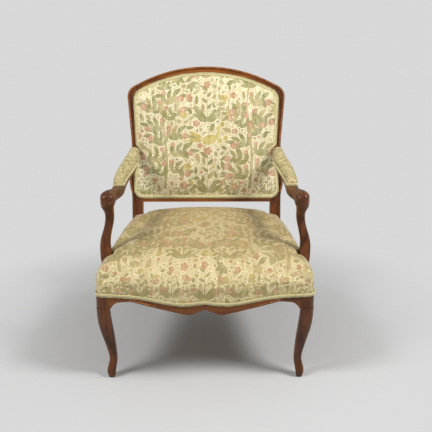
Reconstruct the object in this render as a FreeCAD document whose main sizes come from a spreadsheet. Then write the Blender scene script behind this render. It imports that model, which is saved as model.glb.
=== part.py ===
"""An upholstered open armchair of carved wood, built as a parametric document.

Lengths are in millimetres, +X is to the right seen from the front, +Y goes to the back and +Z goes up.
"left" and "right" are as seen by someone who stands in front of the chair.
The pieces are drawn on a datum whose y is 0 at the line through the two front corners of the seat,
and at the end each piece is placed so that the origin is on the floor, under the middle of the chair.
"""
import FreeCAD, Part
import math
import os
import Sketcher
from FreeCAD import Placement, Rotation, Vector

doc = FreeCAD.newDocument("open_armchair")
sheet = doc.addObject("Spreadsheet::Sheet", "Sizes")

# Driving sizes: name, value, what it is
SIZES = [
    ("corner_half_width", 352, "middle of the chair to the outside of a front leg"),
    ("corner_radius", 26, "rounding of the front corners in plan"),
    ("corner_set_back", 5, "how far the outer end of the front line lies behind the datum"),
    ("front_bow", 38, "how far the middle of the front rail stands before its ends"),
    ("hollow_half_width", 253, "middle to the hollow turn of the serpentine front"),
    ("hollow_forward", 3.5, "how far that turn lies before the datum"),
    ("side_bend_y", 60, "where the side of the seat bends towards the back"),
    ("post_half_width", 287, "middle to the outside of a back post"),
    ("post_width", 41, "width of a back post"),
    ("post_face_y", 537, "front face of the back posts at the seat frame"),
    ("post_depth", 36, "depth of the back posts at the seat frame"),
    ("leg_block", 44, "side of the square block at the top of a front leg"),
    ("rail_thickness", 34, "thickness of the front and side rails"),
    ("back_rail_thickness", 28, "thickness of the back seat rail"),
    ("rail_bottom", 263, "underside of the rails where they meet the legs"),
    ("rail_top", 345, "top of the seat frame"),
    ("cover_line", 311, "height at which the seat cover ends"),
    ("rebate", 4, "how far the frame is cut back behind the cover"),
    ("arch_rise", 31, "rise of the hollows under the front rail"),
    ("arch_half_width", 235, "middle to the top of such a hollow"),
    ("lobe_half_width", 50, "middle to a low point of the front rail"),
    ("lobe_drop", 4, "how far that point hangs under the rail ends"),
    ("notch_rise", 17, "rise of the small hollow in the middle of the front rail"),
    ("arch_end_half_width", 288, "middle to where the hollow turns down to the leg"),
    ("arch_end_rise", 24, "rise of the hollow there"),
    ("side_arch_rise", 14, "rise of the hollow under a side rail"),
    ("dip_half_width", 73, "middle to a low point of the cover line"),
    ("dip_depth", 16, "depth of the cover line there"),
    ("crown_half_width", 205, "middle to where the cover line starts to fall"),
    ("middle_dip", 6, "depth of the cover line in the middle"),
    ("knee_height", 250, "height of the front leg's knee"),
    ("knee_width", 43, "thickness of the knee"),
    ("calf_height", 215, "height where the leg starts to thin"),
    ("ankle_height", 60, "height of the ankle"),
    ("ankle_width", 25.5, "thickness of the ankle"),
    ("ankle_inset", 43.5, "middle of the ankle from the outer faces of the corner"),
    ("foot_height", 26, "height of the foot's widest part"),
    ("foot_width", 28, "thickness of the foot"),
    ("foot_inset", 37, "middle of the foot from the outer faces of the corner"),
    ("toe_width", 19, "flat of the foot on the floor"),
    ("back_foot_y", 636, "middle of a back foot"),
    ("back_foot_half_width", 269, "middle of the chair to the middle of a back foot"),
    ("back_foot_width", 27, "thickness of a back foot"),
    ("lean", 13, "lean of the back, degrees"),
    ("back_plane_y", 550, "front face of the back frame at the seat"),
    ("back_plane_z", 430, "height of that point, from which the back is measured"),
    ("stile_start", -60, "where the leaned part of a post starts, down the back"),
    ("frame_thickness", 32, "thickness of the back frame"),
    ("post_end", 55, "where the post starts to swell, up the back"),
    ("bulge_half_width", 297, "half width of the back at its low swelling"),
    ("bulge_height", 100, "height of that swelling up the back"),
    ("waist_half_width", 284, "half width of the back at its waist"),
    ("waist_height", 232, "height of the waist up the back"),
    ("shoulder_half_width", 303, "half width of the back at the shoulder"),
    ("shoulder_radius", 45, "rounding of the shoulder"),
    ("crest_height", 544, "top of the crest up the back"),
    ("crest_radius", 555, "radius of the crest's arch"),
    ("crest_slope", 27, "slope of the crest at the shoulder, degrees"),
    ("show_low", 17, "width of bare wood beside the pad at the swelling"),
    ("show_waist", 16, "width of bare wood at the waist"),
    ("show_shoulder", 25, "width of bare wood at the shoulder"),
    ("show_crest", 25, "width of bare wood at the top"),
    ("pad_bottom", 43, "bottom of the back pad up the back"),
    ("pad_corner_radius", 34, "rounding of the back pad's bottom corners"),
    ("lower_rail_bottom", 28, "underside of the lower back rail up the back"),
    ("tongue_width", 19, "width of the ledge that carries the back pad"),
    ("front_rebate", 7, "depth of the ledge under the front face of the back"),
    ("rear_rebate", 6, "depth of the ledge under the rear face of the back"),
    ("edge_chamfer", 4, "broken edge of the back frame"),
    ("groove_inset", 9, "groove of the back moulding from the outer edge"),
    ("groove_width", 3, "width of that groove"),
    ("groove_depth", 2, "depth of that groove"),
    ("tenon_thickness", 10, "thickness of the tenons"),
    ("tenon_length", 15, "length of the tenons"),
    ("rail_tenon_bottom", 272, "underside of the seat rail tenons"),
    ("rail_tenon_height", 44, "height of the seat rail tenons"),
    ("back_tenon_height", 22, "height of the tenons in the back frame"),
    ("lower_tenon_start", 34, "underside of the lower rail's tenons up the back"),
    ("crest_tenon_start", 453, "underside of the crest's tenons up the back"),
    ("crest_peg_rise", 17, "peg of the crest over the underside of its tenon"),
    ("lower_peg_rise", 5, "peg of the lower rail over the underside of its tenon"),
    ("joint_clearance", 0.2, "play all round a tenon, peg, dowel or screw"),
    ("peg_diameter", 5, "pegs that lock the tenons"),
    ("peg_height", 290, "height of the pegs in the seat frame"),
    ("peg_length", 28, "length of the pegs"),
    ("block_depth", 34, "corner of the leg to the long face of a corner block"),
    ("block_bottom", 294, "underside of the corner blocks"),
    ("block_top", 340, "top of the corner blocks"),
    ("screw_diameter", 5, "shank of the wood screws"),
    ("screw_bite", 22, "how far a corner block screw goes into the leg"),
    ("support_screw_length", 28, "length of the arm support screws"),
    ("support_screw_half_pitch", 14, "half the spacing of the arm support screws"),
    ("screw_head", 10, "diameter of the screw heads"),
    ("screw_head_height", 4, "height of the countersunk head"),
    ("block_screw_height", 328, "height of the corner block screws"),
    ("support_y", 158, "middle of an arm support's foot"),
    ("support_spread", 56, "length of that foot along the rail"),
    ("lap_thickness", 18, "thickness of the lap on the side rail"),
    ("lap_bottom", 317, "underside of that lap"),
    ("knuckle_joint", 572, "height of the joint between support and arm"),
    ("knuckle_x", 316, "middle of the knuckle"),
    ("knuckle_reach", 50, "front of the knuckle before the middle of the support's foot"),
    ("knuckle_rise", 18, "middle of the knuckle over the joint"),
    ("dowel_diameter", 11, "dowel between support and arm"),
    ("dowel_length", 26, "length of that dowel"),
    ("dowel_lean", 0.5, "forward lean of that dowel for each millimetre of height"),
    ("arm_end_x", 275, "middle of the arm where it meets the post"),
    ("arm_end_z", 654, "height of the arm there"),
    ("arm_tenon_height", 20, "height of the arm's tenon"),
    ("arm_tenon_length", 18, "length of the arm's tenon"),
    ("arm_pad_start", 268, "front end of the arm pad"),
    ("arm_pad_end", 562, "back end of the arm pad"),
    ("arm_pad_rise", 24, "height of the arm pad's crown over the arm"),
    ("arm_pad_edge", 2.5, "rounding of the arm pad's lower edges"),
    ("arm_gimp_height", 9, "height of the braid round an arm pad"),
    ("cloth_gap", 0.3, "play between layers of upholstery"),
    ("cover_thickness", 2.5, "thickness of the cover with its lining"),
    ("gimp_width", 12, "width of the braid"),
    ("gimp_thickness", 2.6, "thickness of the braid"),
    ("gimp_below", 4, "how far the seat braid hangs under the cover's edge"),
    ("webbing_thickness", 1.2, "thickness of the jute webbing"),
    ("webbing_width", 50, "width of the jute webbing"),
    ("webbing_hold", 17, "how far the seat webbing lies on the rails"),
    ("webbing_pitch_x", 94, "spacing of the front to back strips"),
    ("webbing_count_x", 5, "number of front to back strips"),
    ("webbing_front_y", 88, "middle of the strip before the arm supports"),
    ("webbing_rear_y", 222, "middle of the first strip behind the arm supports"),
    ("webbing_pitch_y", 92, "spacing of the strips behind it"),
    ("webbing_count_y", 4, "number of strips behind the arm supports"),
    ("back_webbing_pitch", 120, "spacing of the strips in the back"),
    ("back_webbing_count", 3, "number of strips each way in the back"),
    ("back_webbing_middle", 270, "middle of those strips up the back"),
    ("webbing_end_gap", 6, "end of a back strip to the edge of the pad"),
    ("hessian_thickness", 0.9, "thickness of the hessian"),
    ("tack_head", 7, "diameter of a tack's head"),
    ("tack_shank", 1.8, "diameter of a tack's shank"),
    ("tack_length", 11, "length of a tack"),
    ("tack_head_height", 0.8, "thickness of a tack's head"),
    ("tack_half_pitch", 15, "half the spacing of the two tacks at a strip's end"),
    ("tack_inset", 8, "tacks from the end of a strip"),
    ("seat_rise", 0.078, "rise of the seat's top for each millimetre to the back"),
    ("seat_roll", 396, "height of the rolled front edge of the seat"),
    ("seat_crown", 38, "height of the seat's crown over that edge"),
    ("support_notch", 3, "room in the seat cover round an arm support"),
    ("back_crown", 34, "height of the back pad's crown over the frame"),
    ("post_gap", 1.5, "play between the seat cover and the posts"),
]


def fill_sheet():
    """Write the driving sizes into the spreadsheet, one row each."""
    for row, (alias, value, meaning) in enumerate(SIZES, start=1):
        sheet.set(f"A{row}", alias)
        sheet.set(f"B{row}", str(value))
        sheet.setAlias(f"B{row}", alias)
        sheet.set(f"C{row}", meaning)
    doc.recompute()


def size(alias):
    """Read one driving size from the spreadsheet."""
    return float(sheet.get(alias))


fill_sheet()

# Helpers that make document objects
parts = []


def keep(piece):
    """Count an object as one of the chair's pieces."""
    parts.append(piece)
    return piece


def shaped(label, shape, placement=None):
    """Add a free form made with Part's own functions."""
    piece = doc.addObject("Part::Feature", label)
    piece.Label = label
    piece.Shape = shape
    if placement is not None:
        piece.Placement = placement
    return piece


def box(label, length, width, height, corner, placement=None):
    """Add a box; its sizes and its low corner are expressions of the sheet."""
    piece = doc.addObject("Part::Box", label)
    piece.Label = label
    piece.setExpression("Length", length)
    piece.setExpression("Width", width)
    piece.setExpression("Height", height)
    if placement is None:
        for axis, value in zip("xyz", corner):
            piece.setExpression(f"Placement.Base.{axis}", value)
    else:
        doc.recompute()
        values = [float(piece.evalExpression(value)) for value in corner]
        piece.Placement = placement.multiply(Placement(Vector(*values), Rotation()))
    return piece


def rod(label, diameter, length, start, direction):
    """Add a round rod from a point along a direction; diameter and length are expressions."""
    piece = doc.addObject("Part::Cylinder", label)
    piece.Label = label
    piece.setExpression("Radius", f"({diameter}) / 2")
    piece.setExpression("Height", length)
    piece.Placement = Placement(start, Rotation(Vector(0, 0, 1), direction))
    return piece


def cut(label, base, *tools):
    """Cut one or more tools from a piece."""
    tool = tools[0] if len(tools) == 1 else compound(label + "_cutters", tools)
    piece = doc.addObject("Part::Cut", label)
    piece.Label = label
    piece.Base = base
    piece.Tool = tool
    return piece


def common(label, first, second):
    """Keep what two solids share."""
    piece = doc.addObject("Part::Common", label)
    piece.Label = label
    piece.Base = first
    piece.Tool = second
    return piece


def fuse(label, *members):
    """Join solids into one."""
    piece = doc.addObject("Part::MultiFuse", label)
    piece.Label = label
    piece.Shapes = list(members)
    return piece


def compound(label, members):
    """Hold several solids as one object."""
    piece = doc.addObject("Part::Compound", label)
    piece.Label = label
    piece.Links = list(members)
    return piece


def mirrored(label, source):
    """Mirror a right-hand piece to the left."""
    piece = doc.addObject("Part::Mirroring", label)
    piece.Label = label
    piece.Source = source
    piece.Normal = Vector(1, 0, 0)
    piece.Base = Vector(0, 0, 0)
    return piece


def pair(name, source):
    """Keep a right-hand piece and its mirror image."""
    source.Label = name + "_right"
    keep(source)
    keep(mirrored(name + "_left", source))


# Outlines of tangent lines and arcs
LEAST_RADIUS = 3


def corner_data(corners, inset):
    """Move every side of a polygon inwards and work out the rounding at each corner.

    The corners are (x, y, radius), counter-clockwise. Returns (point, in, out, radius, reach, side) rows.
    """
    count = len(corners)
    sides = []
    for index in range(count):
        start = Vector(*corners[index][:2], 0)
        end = Vector(*corners[(index + 1) % count][:2], 0)
        along = (end - start).normalize()
        sides.append((start + Vector(-along.y, along.x, 0) * inset, along))
    rows = []
    for index in range(count):
        before, along_before = sides[index - 1]
        after, along_after = sides[index]
        turn = along_before.x * along_after.y - along_before.y * along_after.x
        gap = after - before
        step = (gap.x * along_after.y - gap.y * along_after.x) / turn
        point = before + along_before * step
        side = 1 if turn > 0 else -1
        radius = max(corners[index][2] - side * inset, LEAST_RADIUS)
        half_turn = math.asin(max(-1.0, min(1.0, abs(turn)))) / 2
        if along_before.dot(along_after) < 0:
            half_turn = math.pi / 2 - half_turn
        rows.append([point, along_before, along_after, radius, math.tan(half_turn), side])
    for index in range(count):
        here = rows[index]
        following = rows[(index + 1) % count]
        room = 0.98 * (following[0] - here[0]).Length
        reaches = [here[3] * here[4], following[3] * following[4]]
        if sum(reaches) > room:
            for row, other in ((here, reaches[1]), (following, reaches[0])):
                row[3] = min(row[3], max(room - other, room / 2) / row[4])
    return rows


def outline(corners, place, inset=0.0):
    """Make a closed wire of tangent arcs and lines; place turns a flat point into a point in space."""
    spans = []
    for point, along_before, along_after, radius, slope, side in corner_data(corners, inset):
        start = point - along_before * radius * slope
        end = point + along_after * radius * slope
        centre = start + Vector(-along_before.y, along_before.x, 0) * radius * side
        middle = centre + (point - centre).normalize() * radius
        spans.append((start, middle, end))
    edges = []
    for index, (start, middle, end) in enumerate(spans):
        edges.append(Part.Arc(place(start), place(middle), place(end)).toShape())
        following = spans[(index + 1) % len(spans)][0]
        edges.append(Part.LineSegment(place(end), place(following)).toShape())
    return Part.Wire(edges)


def flat(height):
    """Place an outline's points at one height."""
    return lambda point: Vector(point.x, point.y, height)


def prism(corners, low, high, inset=0.0):
    """Extrude an outline between two heights."""
    face = Part.Face(outline(corners, flat(low), inset))
    return face.extrude(Vector(0, 0, high - low))


def stack(corners, levels):
    """Loft an outline through levels of (height, inset), flat between one level and the next."""
    wires = [outline(corners, flat(height), inset) for height, inset in levels]
    return Part.makeLoft(wires, True, True)


def both_sides(right_corners):
    """Add the left half of a symmetrical outline to its right half, which starts at the middle."""
    mirror = [(-x, y, radius) for x, y, radius in reversed(right_corners) if x > 0]
    return list(right_corners) + mirror


# The seat seen from above
ARC_SHARE = 0.8


def seat_corners(behind_posts, gap):
    """Corners of the seat's outline: serpentine front, sides that draw in and a straight back."""
    side_y = size("side_bend_y")
    hollow_x = size("hollow_half_width")
    hollow_y = -size("hollow_forward")
    corner_x = size("corner_half_width")
    middle_y = -(size("front_bow") + ARC_SHARE / 2 * hollow_y) / (1 - ARC_SHARE / 2)
    slope = math.atan2(hollow_y - middle_y, hollow_x)
    middle_radius = ARC_SHARE * hollow_x / math.sin(slope)
    post_x = size("post_half_width")
    post_y = size("post_face_y")
    inner_x = post_x - size("post_width")
    rear_y = post_y + size("post_depth")
    draw_in = (corner_x - post_x) / (post_y - side_y)
    corners = [
        (0, middle_y, middle_radius),
        (hollow_x, hollow_y, hollow_x),
        (corner_x, size("corner_set_back"), size("corner_radius")),
        (corner_x, side_y, hollow_x),
    ]
    if behind_posts:
        corners.append((post_x - draw_in * (rear_y - post_y + side_y), rear_y + side_y, 2))
    else:
        corners.append((post_x + draw_in * gap, post_y - gap, 6))
        corners.append((inner_x - gap, post_y - gap, 3))
        corners.append((inner_x - gap, rear_y, 3))
    return both_sides(corners)


def side_face_x(y):
    """X of the outer face of a side rail at a place along it."""
    share = (y - size("side_bend_y")) / (size("post_face_y") - size("side_bend_y"))
    return size("corner_half_width") + (size("post_half_width") - size("corner_half_width")) * max(share, 0)


frame_corners = seat_corners(True, 0)
cover_corners = seat_corners(False, size("post_gap"))
rail_low = size("rail_bottom") - size("lobe_drop") - 2
rail_high = size("rail_top")
beyond = size("corner_half_width") + 100


def front_line(points, radii):
    """Corners of a line across the front, mirrored, as (x, height, radius)."""
    right = [(x, z, radius) for (x, z), radius in zip(points, radii)]
    left = [(-x, z, radius) for x, z, radius in reversed(right) if x > 0]
    return left + right


def wall(corners, label, depth_from, depth_to):
    """Extrude a front view shape from front to back."""
    wire = outline(corners, lambda point: Vector(point.x, depth_from, point.y))
    return shaped(label, Part.Face(wire).extrude(Vector(0, depth_to - depth_from, 0)))


def cover_line(offset):
    """The edge of the seat cover seen from the front, moved up or down."""
    edge = size("cover_line") + offset
    points = [
        (0, edge - size("middle_dip")),
        (size("dip_half_width"), edge - size("dip_depth")),
        (size("crown_half_width"), edge),
        (beyond, edge),
    ]
    return front_line(points, [25, 60, 150, LEAST_RADIUS])


def above(label, offset):
    """All the space over the cover line, which is straight along the sides and the back."""
    top = size("rail_top") + 200
    turn = size("side_bend_y")
    shaped_edge = cover_line(offset) + [(beyond, top, LEAST_RADIUS), (-beyond, top, LEAST_RADIUS)]
    low = size("cover_line") + offset
    straight = Part.makeBox(2 * beyond, 900, top - low, Vector(-beyond, turn, low))
    return fuse(label, wall(shaped_edge, label + "_front", -200, turn), shaped(label + "_rear", straight))


rebate_ring = shaped(
    "rebate_ring",
    prism(frame_corners, rail_low, rail_high + 50, -20).cut(
        prism(frame_corners, rail_low - 1, rail_high + 51, size("rebate"))
    ),
)
rebate_cutter = common("rebate_cutter", rebate_ring, above("above_cover_line", 0))
rail_ring = shaped(
    "rail_ring",
    prism(frame_corners, rail_low, rail_high).cut(
        prism(frame_corners, rail_low - 1, rail_high + 1, size("rail_thickness"))
    ),
)

CLEAR = "2 * Sizes.joint_clearance"


def tenon_and_mortise(label, length, width, height, corner, placement=None):
    """A tenon box and the mortise box that it fits."""
    tenon = box(label + "_tenon", length, width, height, corner, placement)
    sizes = [f"{value} + {CLEAR}" for value in (length, width, height)]
    low = [f"{value} - Sizes.joint_clearance" for value in corner]
    mortise = box(label + "_mortise", *sizes, low, placement)
    return tenon, mortise


# Joints of the seat frame, right-hand side
leg_inner = "(Sizes.corner_half_width - Sizes.leg_block)"
post_inner = "(Sizes.post_half_width - Sizes.post_width)"
front_tenon, front_mortise = tenon_and_mortise(
    "front_rail",
    "Sizes.tenon_length + 5",
    "Sizes.tenon_thickness",
    "Sizes.rail_tenon_height",
    (f"{leg_inner} - 5", "Sizes.leg_block / 2 - Sizes.tenon_thickness / 2", "Sizes.rail_tenon_bottom"),
)
side_tenon, side_mortise = tenon_and_mortise(
    "side_rail_front",
    "Sizes.tenon_thickness",
    "Sizes.tenon_length + 5",
    "Sizes.rail_tenon_height",
    (
        "Sizes.corner_half_width - Sizes.leg_block / 2 - Sizes.tenon_thickness / 2 + 3",
        "Sizes.leg_block - Sizes.tenon_length",
        "Sizes.rail_tenon_bottom",
    ),
)
rear_tenon, rear_mortise = tenon_and_mortise(
    "side_rail_rear",
    "Sizes.tenon_thickness",
    "Sizes.tenon_length + 5",
    "Sizes.rail_tenon_height",
    (
        "Sizes.post_half_width - Sizes.tenon_thickness * 2 - 1",
        "Sizes.post_face_y - 5",
        "Sizes.rail_tenon_bottom",
    ),
)
back_tenon, back_mortise = tenon_and_mortise(
    "back_rail",
    "Sizes.tenon_length + 5",
    "Sizes.tenon_thickness",
    "Sizes.rail_tenon_height",
    (
        f"{post_inner} - 5",
        "Sizes.post_face_y + Sizes.post_depth - Sizes.tenon_thickness * 2",
        "Sizes.rail_tenon_bottom",
    ),
)


def rounded_square(centre, across, along, half_across, half_along, radii):
    """A closed section of four sides and four rounded corners round a centre."""
    signs = [(-1, -1), (1, -1), (1, 1), (-1, 1)]
    corners = [(sx * half_across, sy * half_along, radius) for (sx, sy), radius in zip(signs, radii)]
    return outline(corners, lambda point: centre + across * point.x + along * point.y)


X_AXIS = Vector(1, 0, 0)
Y_AXIS = Vector(0, 1, 0)
Z_AXIS = Vector(0, 0, 1)


def ease(share):
    """A smooth step from 0 to 1."""
    share = max(0.0, min(1.0, share))
    return share * share * (3 - 2 * share)


# Front legs
def front_leg():
    """A cabriole leg: knee under the corner of the seat, thin ankle drawn in, small round foot."""
    block = size("leg_block")
    corner = size("corner_half_width")
    sections = [(size("rail_bottom"), block / 2, block, size("corner_radius"))]
    knee = size("knee_height")
    ankle = size("ankle_height")
    for share in (0.0, 0.2, 0.42, 0.62, 0.82, 1.0):
        height = knee + (ankle - knee) * share
        drawn_in = ease((knee - height) / (knee - ankle))
        thinned = ease((size("calf_height") - height) / (size("calf_height") - ankle))
        inset = size("knee_width") / 2 + (size("ankle_inset") - size("knee_width") / 2) * drawn_in
        width = size("knee_width") + (size("ankle_width") - size("knee_width")) * thinned
        outer_radius = width * 0.4 + (size("corner_radius") - width * 0.4) * ease(1 - 1.6 * share)
        sections.append((height, inset, width, min(outer_radius, width * 0.62)))
    sections.append((size("foot_height"), size("foot_inset"), size("foot_width"), size("foot_width") * 0.4))
    toe = size("toe_width")
    pad_width = (size("foot_width") + toe) / 2
    sections.append((size("foot_height") * 0.4, size("foot_inset"), pad_width, toe * 0.4))
    sections.append((0, size("foot_inset"), toe, toe * 0.4))
    wires = []
    for height, inset, width, outer_radius in sections:
        centre = Vector(corner - inset, inset, height)
        other = min(width * 0.22, outer_radius)
        radii = (other, outer_radius, other, other)
        wires.append(rounded_square(centre, X_AXIS, Y_AXIS, width / 2, width / 2, radii))
    leg = shaped("front_leg_curve", Part.makeLoft(wires, True, False))
    block_box = box(
        "front_leg_block",
        "Sizes.leg_block + 50",
        "Sizes.leg_block + 50",
        "Sizes.rail_top - Sizes.rail_bottom",
        (leg_inner, "-50", "Sizes.rail_bottom"),
    )
    seat = shaped("front_leg_plan", prism(frame_corners, size("rail_bottom"), rail_high))
    head = common("front_leg_head", block_box, seat)
    return fuse("front_leg_whole", leg, head)


def wood_screw(label, length, start, direction):
    """A countersunk wood screw with its head flush at the start, and the hole that it needs."""
    shank = rod(label + "_shank", "Sizes.screw_diameter", length, start, direction)
    hole = rod(label + "_bore", f"Sizes.screw_diameter + {CLEAR}", f"{length} + 1", start, direction)
    cones = []
    for name, spare in (("_head", "0"), ("_sink", "Sizes.joint_clearance")):
        cone = doc.addObject("Part::Cone", label + name)
        cone.setExpression("Radius1", f"Sizes.screw_head / 2 + {spare}")
        cone.setExpression("Radius2", f"Sizes.screw_diameter / 2 + {spare}")
        cone.setExpression("Height", f"Sizes.screw_head_height + {spare}")
        cone.Placement = Placement(start, Rotation(Z_AXIS, direction))
        cones.append(cone)
    return fuse(label, shank, cones[0]), compound(label + "_hole", [hole, cones[1]])


def block_screw(label, corner, to_back):
    """The screw through a corner block, straight at the corner of the leg or post behind it."""
    diagonal = Vector(1, to_back, 0).normalize()
    start = corner - diagonal * size("block_depth")
    return wood_screw(label, "Sizes.block_depth + Sizes.screw_bite", start, diagonal)


inner_x = size("corner_half_width") - size("leg_block")
post_inner_x = size("post_half_width") - size("post_width")
front_corner = Vector(inner_x, size("leg_block"), size("block_screw_height"))
rear_corner = Vector(post_inner_x, size("post_face_y"), size("block_screw_height"))
front_screw, front_screw_hole = block_screw("front_screw", front_corner, -1)
rear_screw, rear_screw_hole = block_screw("rear_screw", rear_corner, 1)


def peg_and_hole(label, start, direction, length="Sizes.peg_length"):
    """A locking peg and the hole bored for it."""
    peg = rod(label, "Sizes.peg_diameter", length, start, direction)
    hole = rod(
        label + "_hole",
        f"Sizes.peg_diameter + {CLEAR}",
        f"{length} + Sizes.joint_clearance + 20",
        start - direction * 20,
        direction,
    )
    return peg, hole


peg_z = size("peg_height")
half_tenon = size("tenon_length") / 2
front_peg, front_peg_hole = peg_and_hole(
    "front_peg", Vector(inner_x + half_tenon, size("corner_set_back") - 1, peg_z), Y_AXIS
)
side_peg, side_peg_hole = peg_and_hole(
    "side_peg", Vector(size("corner_half_width") - 1, size("leg_block") - half_tenon, peg_z + 12), -X_AXIS
)
rear_peg, rear_peg_hole = peg_and_hole(
    "rear_peg", Vector(size("post_half_width") - 1, size("post_face_y") + half_tenon, peg_z), -X_AXIS
)
back_peg, back_peg_hole = peg_and_hole(
    "back_peg",
    Vector(post_inner_x + half_tenon, size("post_face_y") + size("post_depth") - 1, peg_z + 12),
    -Y_AXIS,
)

leg_whole = front_leg()
pair(
    "front_leg",
    cut(
        "front_leg_right",
        leg_whole,
        rebate_cutter,
        front_mortise,
        side_mortise,
        front_screw_hole,
        front_peg_hole,
        side_peg_hole,
    ),
)


# The leaned plane of the back: x across, y up the back, z out of its front face
lean_frame = Placement(
    Vector(0, size("back_plane_y"), size("back_plane_z")),
    Rotation(X_AXIS, 90 - size("lean")),
)
CREST_REACH = 1 / math.cos(math.radians(size("crest_slope"))) - 1


def crest_vertex(top):
    """Height of the point where the two slopes of the crest would meet over its arch."""
    return top + size("crest_radius") * CREST_REACH


def back_corners(inner):
    """Right half of the back's outline, or of the pad's when inner is true."""
    top = size("crest_height") - (size("show_crest") if inner else 0)
    shoulder_x = size("shoulder_half_width") - (size("show_shoulder") if inner else 0)
    waist_x = size("waist_half_width") - (size("show_waist") if inner else 0)
    bulge_x = size("bulge_half_width") - (size("show_low") if inner else 0)
    vertex = crest_vertex(top)
    shoulder_y = vertex - shoulder_x * math.tan(math.radians(size("crest_slope")))
    upper = [
        (waist_x, size("waist_height"), shoulder_x * 1.7),
        (shoulder_x, shoulder_y, size("shoulder_radius")),
        (0, vertex, size("crest_radius")),
    ]
    if inner:
        lower = [(bulge_x, size("pad_bottom"), size("pad_corner_radius"))]
    else:
        lower = [
            (size("post_half_width"), size("stile_start") - 20, LEAST_RADIUS),
            (size("post_half_width"), size("post_end"), size("bulge_height")),
            (bulge_x, size("bulge_height"), size("bulge_height")),
        ]
    return lower + upper


def whole_back(right_half):
    """Close a right half into a counter-clockwise outline; the crest's vertex is in both halves."""
    mirror = [(-x, y, radius) for x, y, radius in reversed(right_half[:-1])]
    return right_half + mirror


back_outer = whole_back(back_corners(False))
pad_outer = whole_back(back_corners(True))
thickness = size("frame_thickness")
chamfer = size("edge_chamfer")
ledge_front = -size("front_rebate")
ledge_rear = -(thickness - size("rear_rebate"))


def back_frame():
    """The whole back frame in the leaned plane, before it is sawn into posts, crest and rail."""
    slab = stack(
        back_outer,
        [(-thickness, chamfer), (-thickness + chamfer, 0), (-chamfer, 0), (0, chamfer)],
    )
    opening = prism(pad_outer, -thickness - 1, 1, size("tongue_width"))
    front_ledge = prism(pad_outer, ledge_front, 1)
    rear_ledge = prism(pad_outer, -thickness - 1, ledge_rear)
    groove_low = size("groove_inset")
    groove = prism(back_outer, -size("groove_depth"), 1, groove_low).cut(
        prism(back_outer, -size("groove_depth") - 1, 2, groove_low + size("groove_width"))
    )
    between = Part.makeBox(
        2 * post_inner_x,
        size("lower_rail_bottom") - size("stile_start") + 50,
        thickness + 10,
        Vector(-post_inner_x, size("stile_start") - 50, -thickness - 5),
    )
    under = Part.makeBox(2000, 100, 200, Vector(-1000, size("stile_start") - 100, -100))
    return slab.cut([opening, front_ledge, rear_ledge, groove, between, under])


frame_shape = back_frame()
FAR = 900


def back_region(label, low_x, high_x, low_y, high_y):
    """Saw a part of the back frame off between two lines across and two lines up."""
    region = Part.makeBox(high_x - low_x, high_y - low_y, 400, Vector(low_x, low_y, -200))
    return shaped(label, frame_shape.common(region), lean_frame)


def leaned(x, up, out):
    """A point given in the back's own plane."""
    return lean_frame.multVec(Vector(x, up, out))


lean_forward = lean_frame.Rotation.multVec(Z_AXIS)


def back_leg():
    """The back leg under the seat, raked back to its foot, and the neck that joins it to the stile."""
    bottom = size("rail_bottom")
    middle_x = size("post_half_width") - size("post_width") / 2
    middle_y = size("post_face_y") + size("post_depth") / 2
    wires = []
    for share in (0.0, 0.25, 0.5, 0.75, 1.0):
        raked = (1 - share) ** 1.5
        thinned = ease(1 - share)
        centre = Vector(
            middle_x + (size("back_foot_half_width") - middle_x) * raked,
            middle_y + (size("back_foot_y") - middle_y) * raked,
            bottom * share,
        )
        half_across = (size("post_width") + (size("back_foot_width") - size("post_width")) * thinned) / 2
        half_along = (size("post_depth") + (size("back_foot_width") - size("post_depth")) * thinned) / 2
        wires.append(rounded_square(centre, X_AXIS, Y_AXIS, half_across, half_along, (5, 5, 5, 5)))
    leg = shaped("back_leg_curve", Part.makeLoft(wires, True, False))
    block = box(
        "back_leg_block",
        "Sizes.post_width",
        "Sizes.post_depth",
        "Sizes.rail_top - Sizes.rail_bottom",
        (post_inner, "Sizes.post_face_y", "Sizes.rail_bottom"),
    )
    start = size("stile_start")
    neck_low = rounded_square(
        Vector(middle_x, middle_y, size("rail_top")),
        X_AXIS,
        Y_AXIS,
        size("post_width") / 2,
        size("post_depth") / 2,
        (3, 3, 3, 3),
    )
    neck_high = rounded_square(
        leaned(middle_x, start, -thickness / 2),
        X_AXIS,
        -lean_forward,
        size("post_width") / 2 - 0.2,
        thickness / 2 - 0.2,
        (3, 3, 3, 3),
    )
    neck = shaped("back_leg_neck", Part.makeLoft([neck_low, neck_high], True, True))
    return leg, block, neck


stile = back_region("stile_sawn", post_inner_x, FAR, -FAR, FAR)
crest_sawn = back_region("crest_sawn", -post_inner_x, post_inner_x, size("waist_height") + 100, FAR)
lower_sawn = back_region("lower_rail_sawn", -post_inner_x, post_inner_x, -FAR, size("waist_height") - 60)

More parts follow.
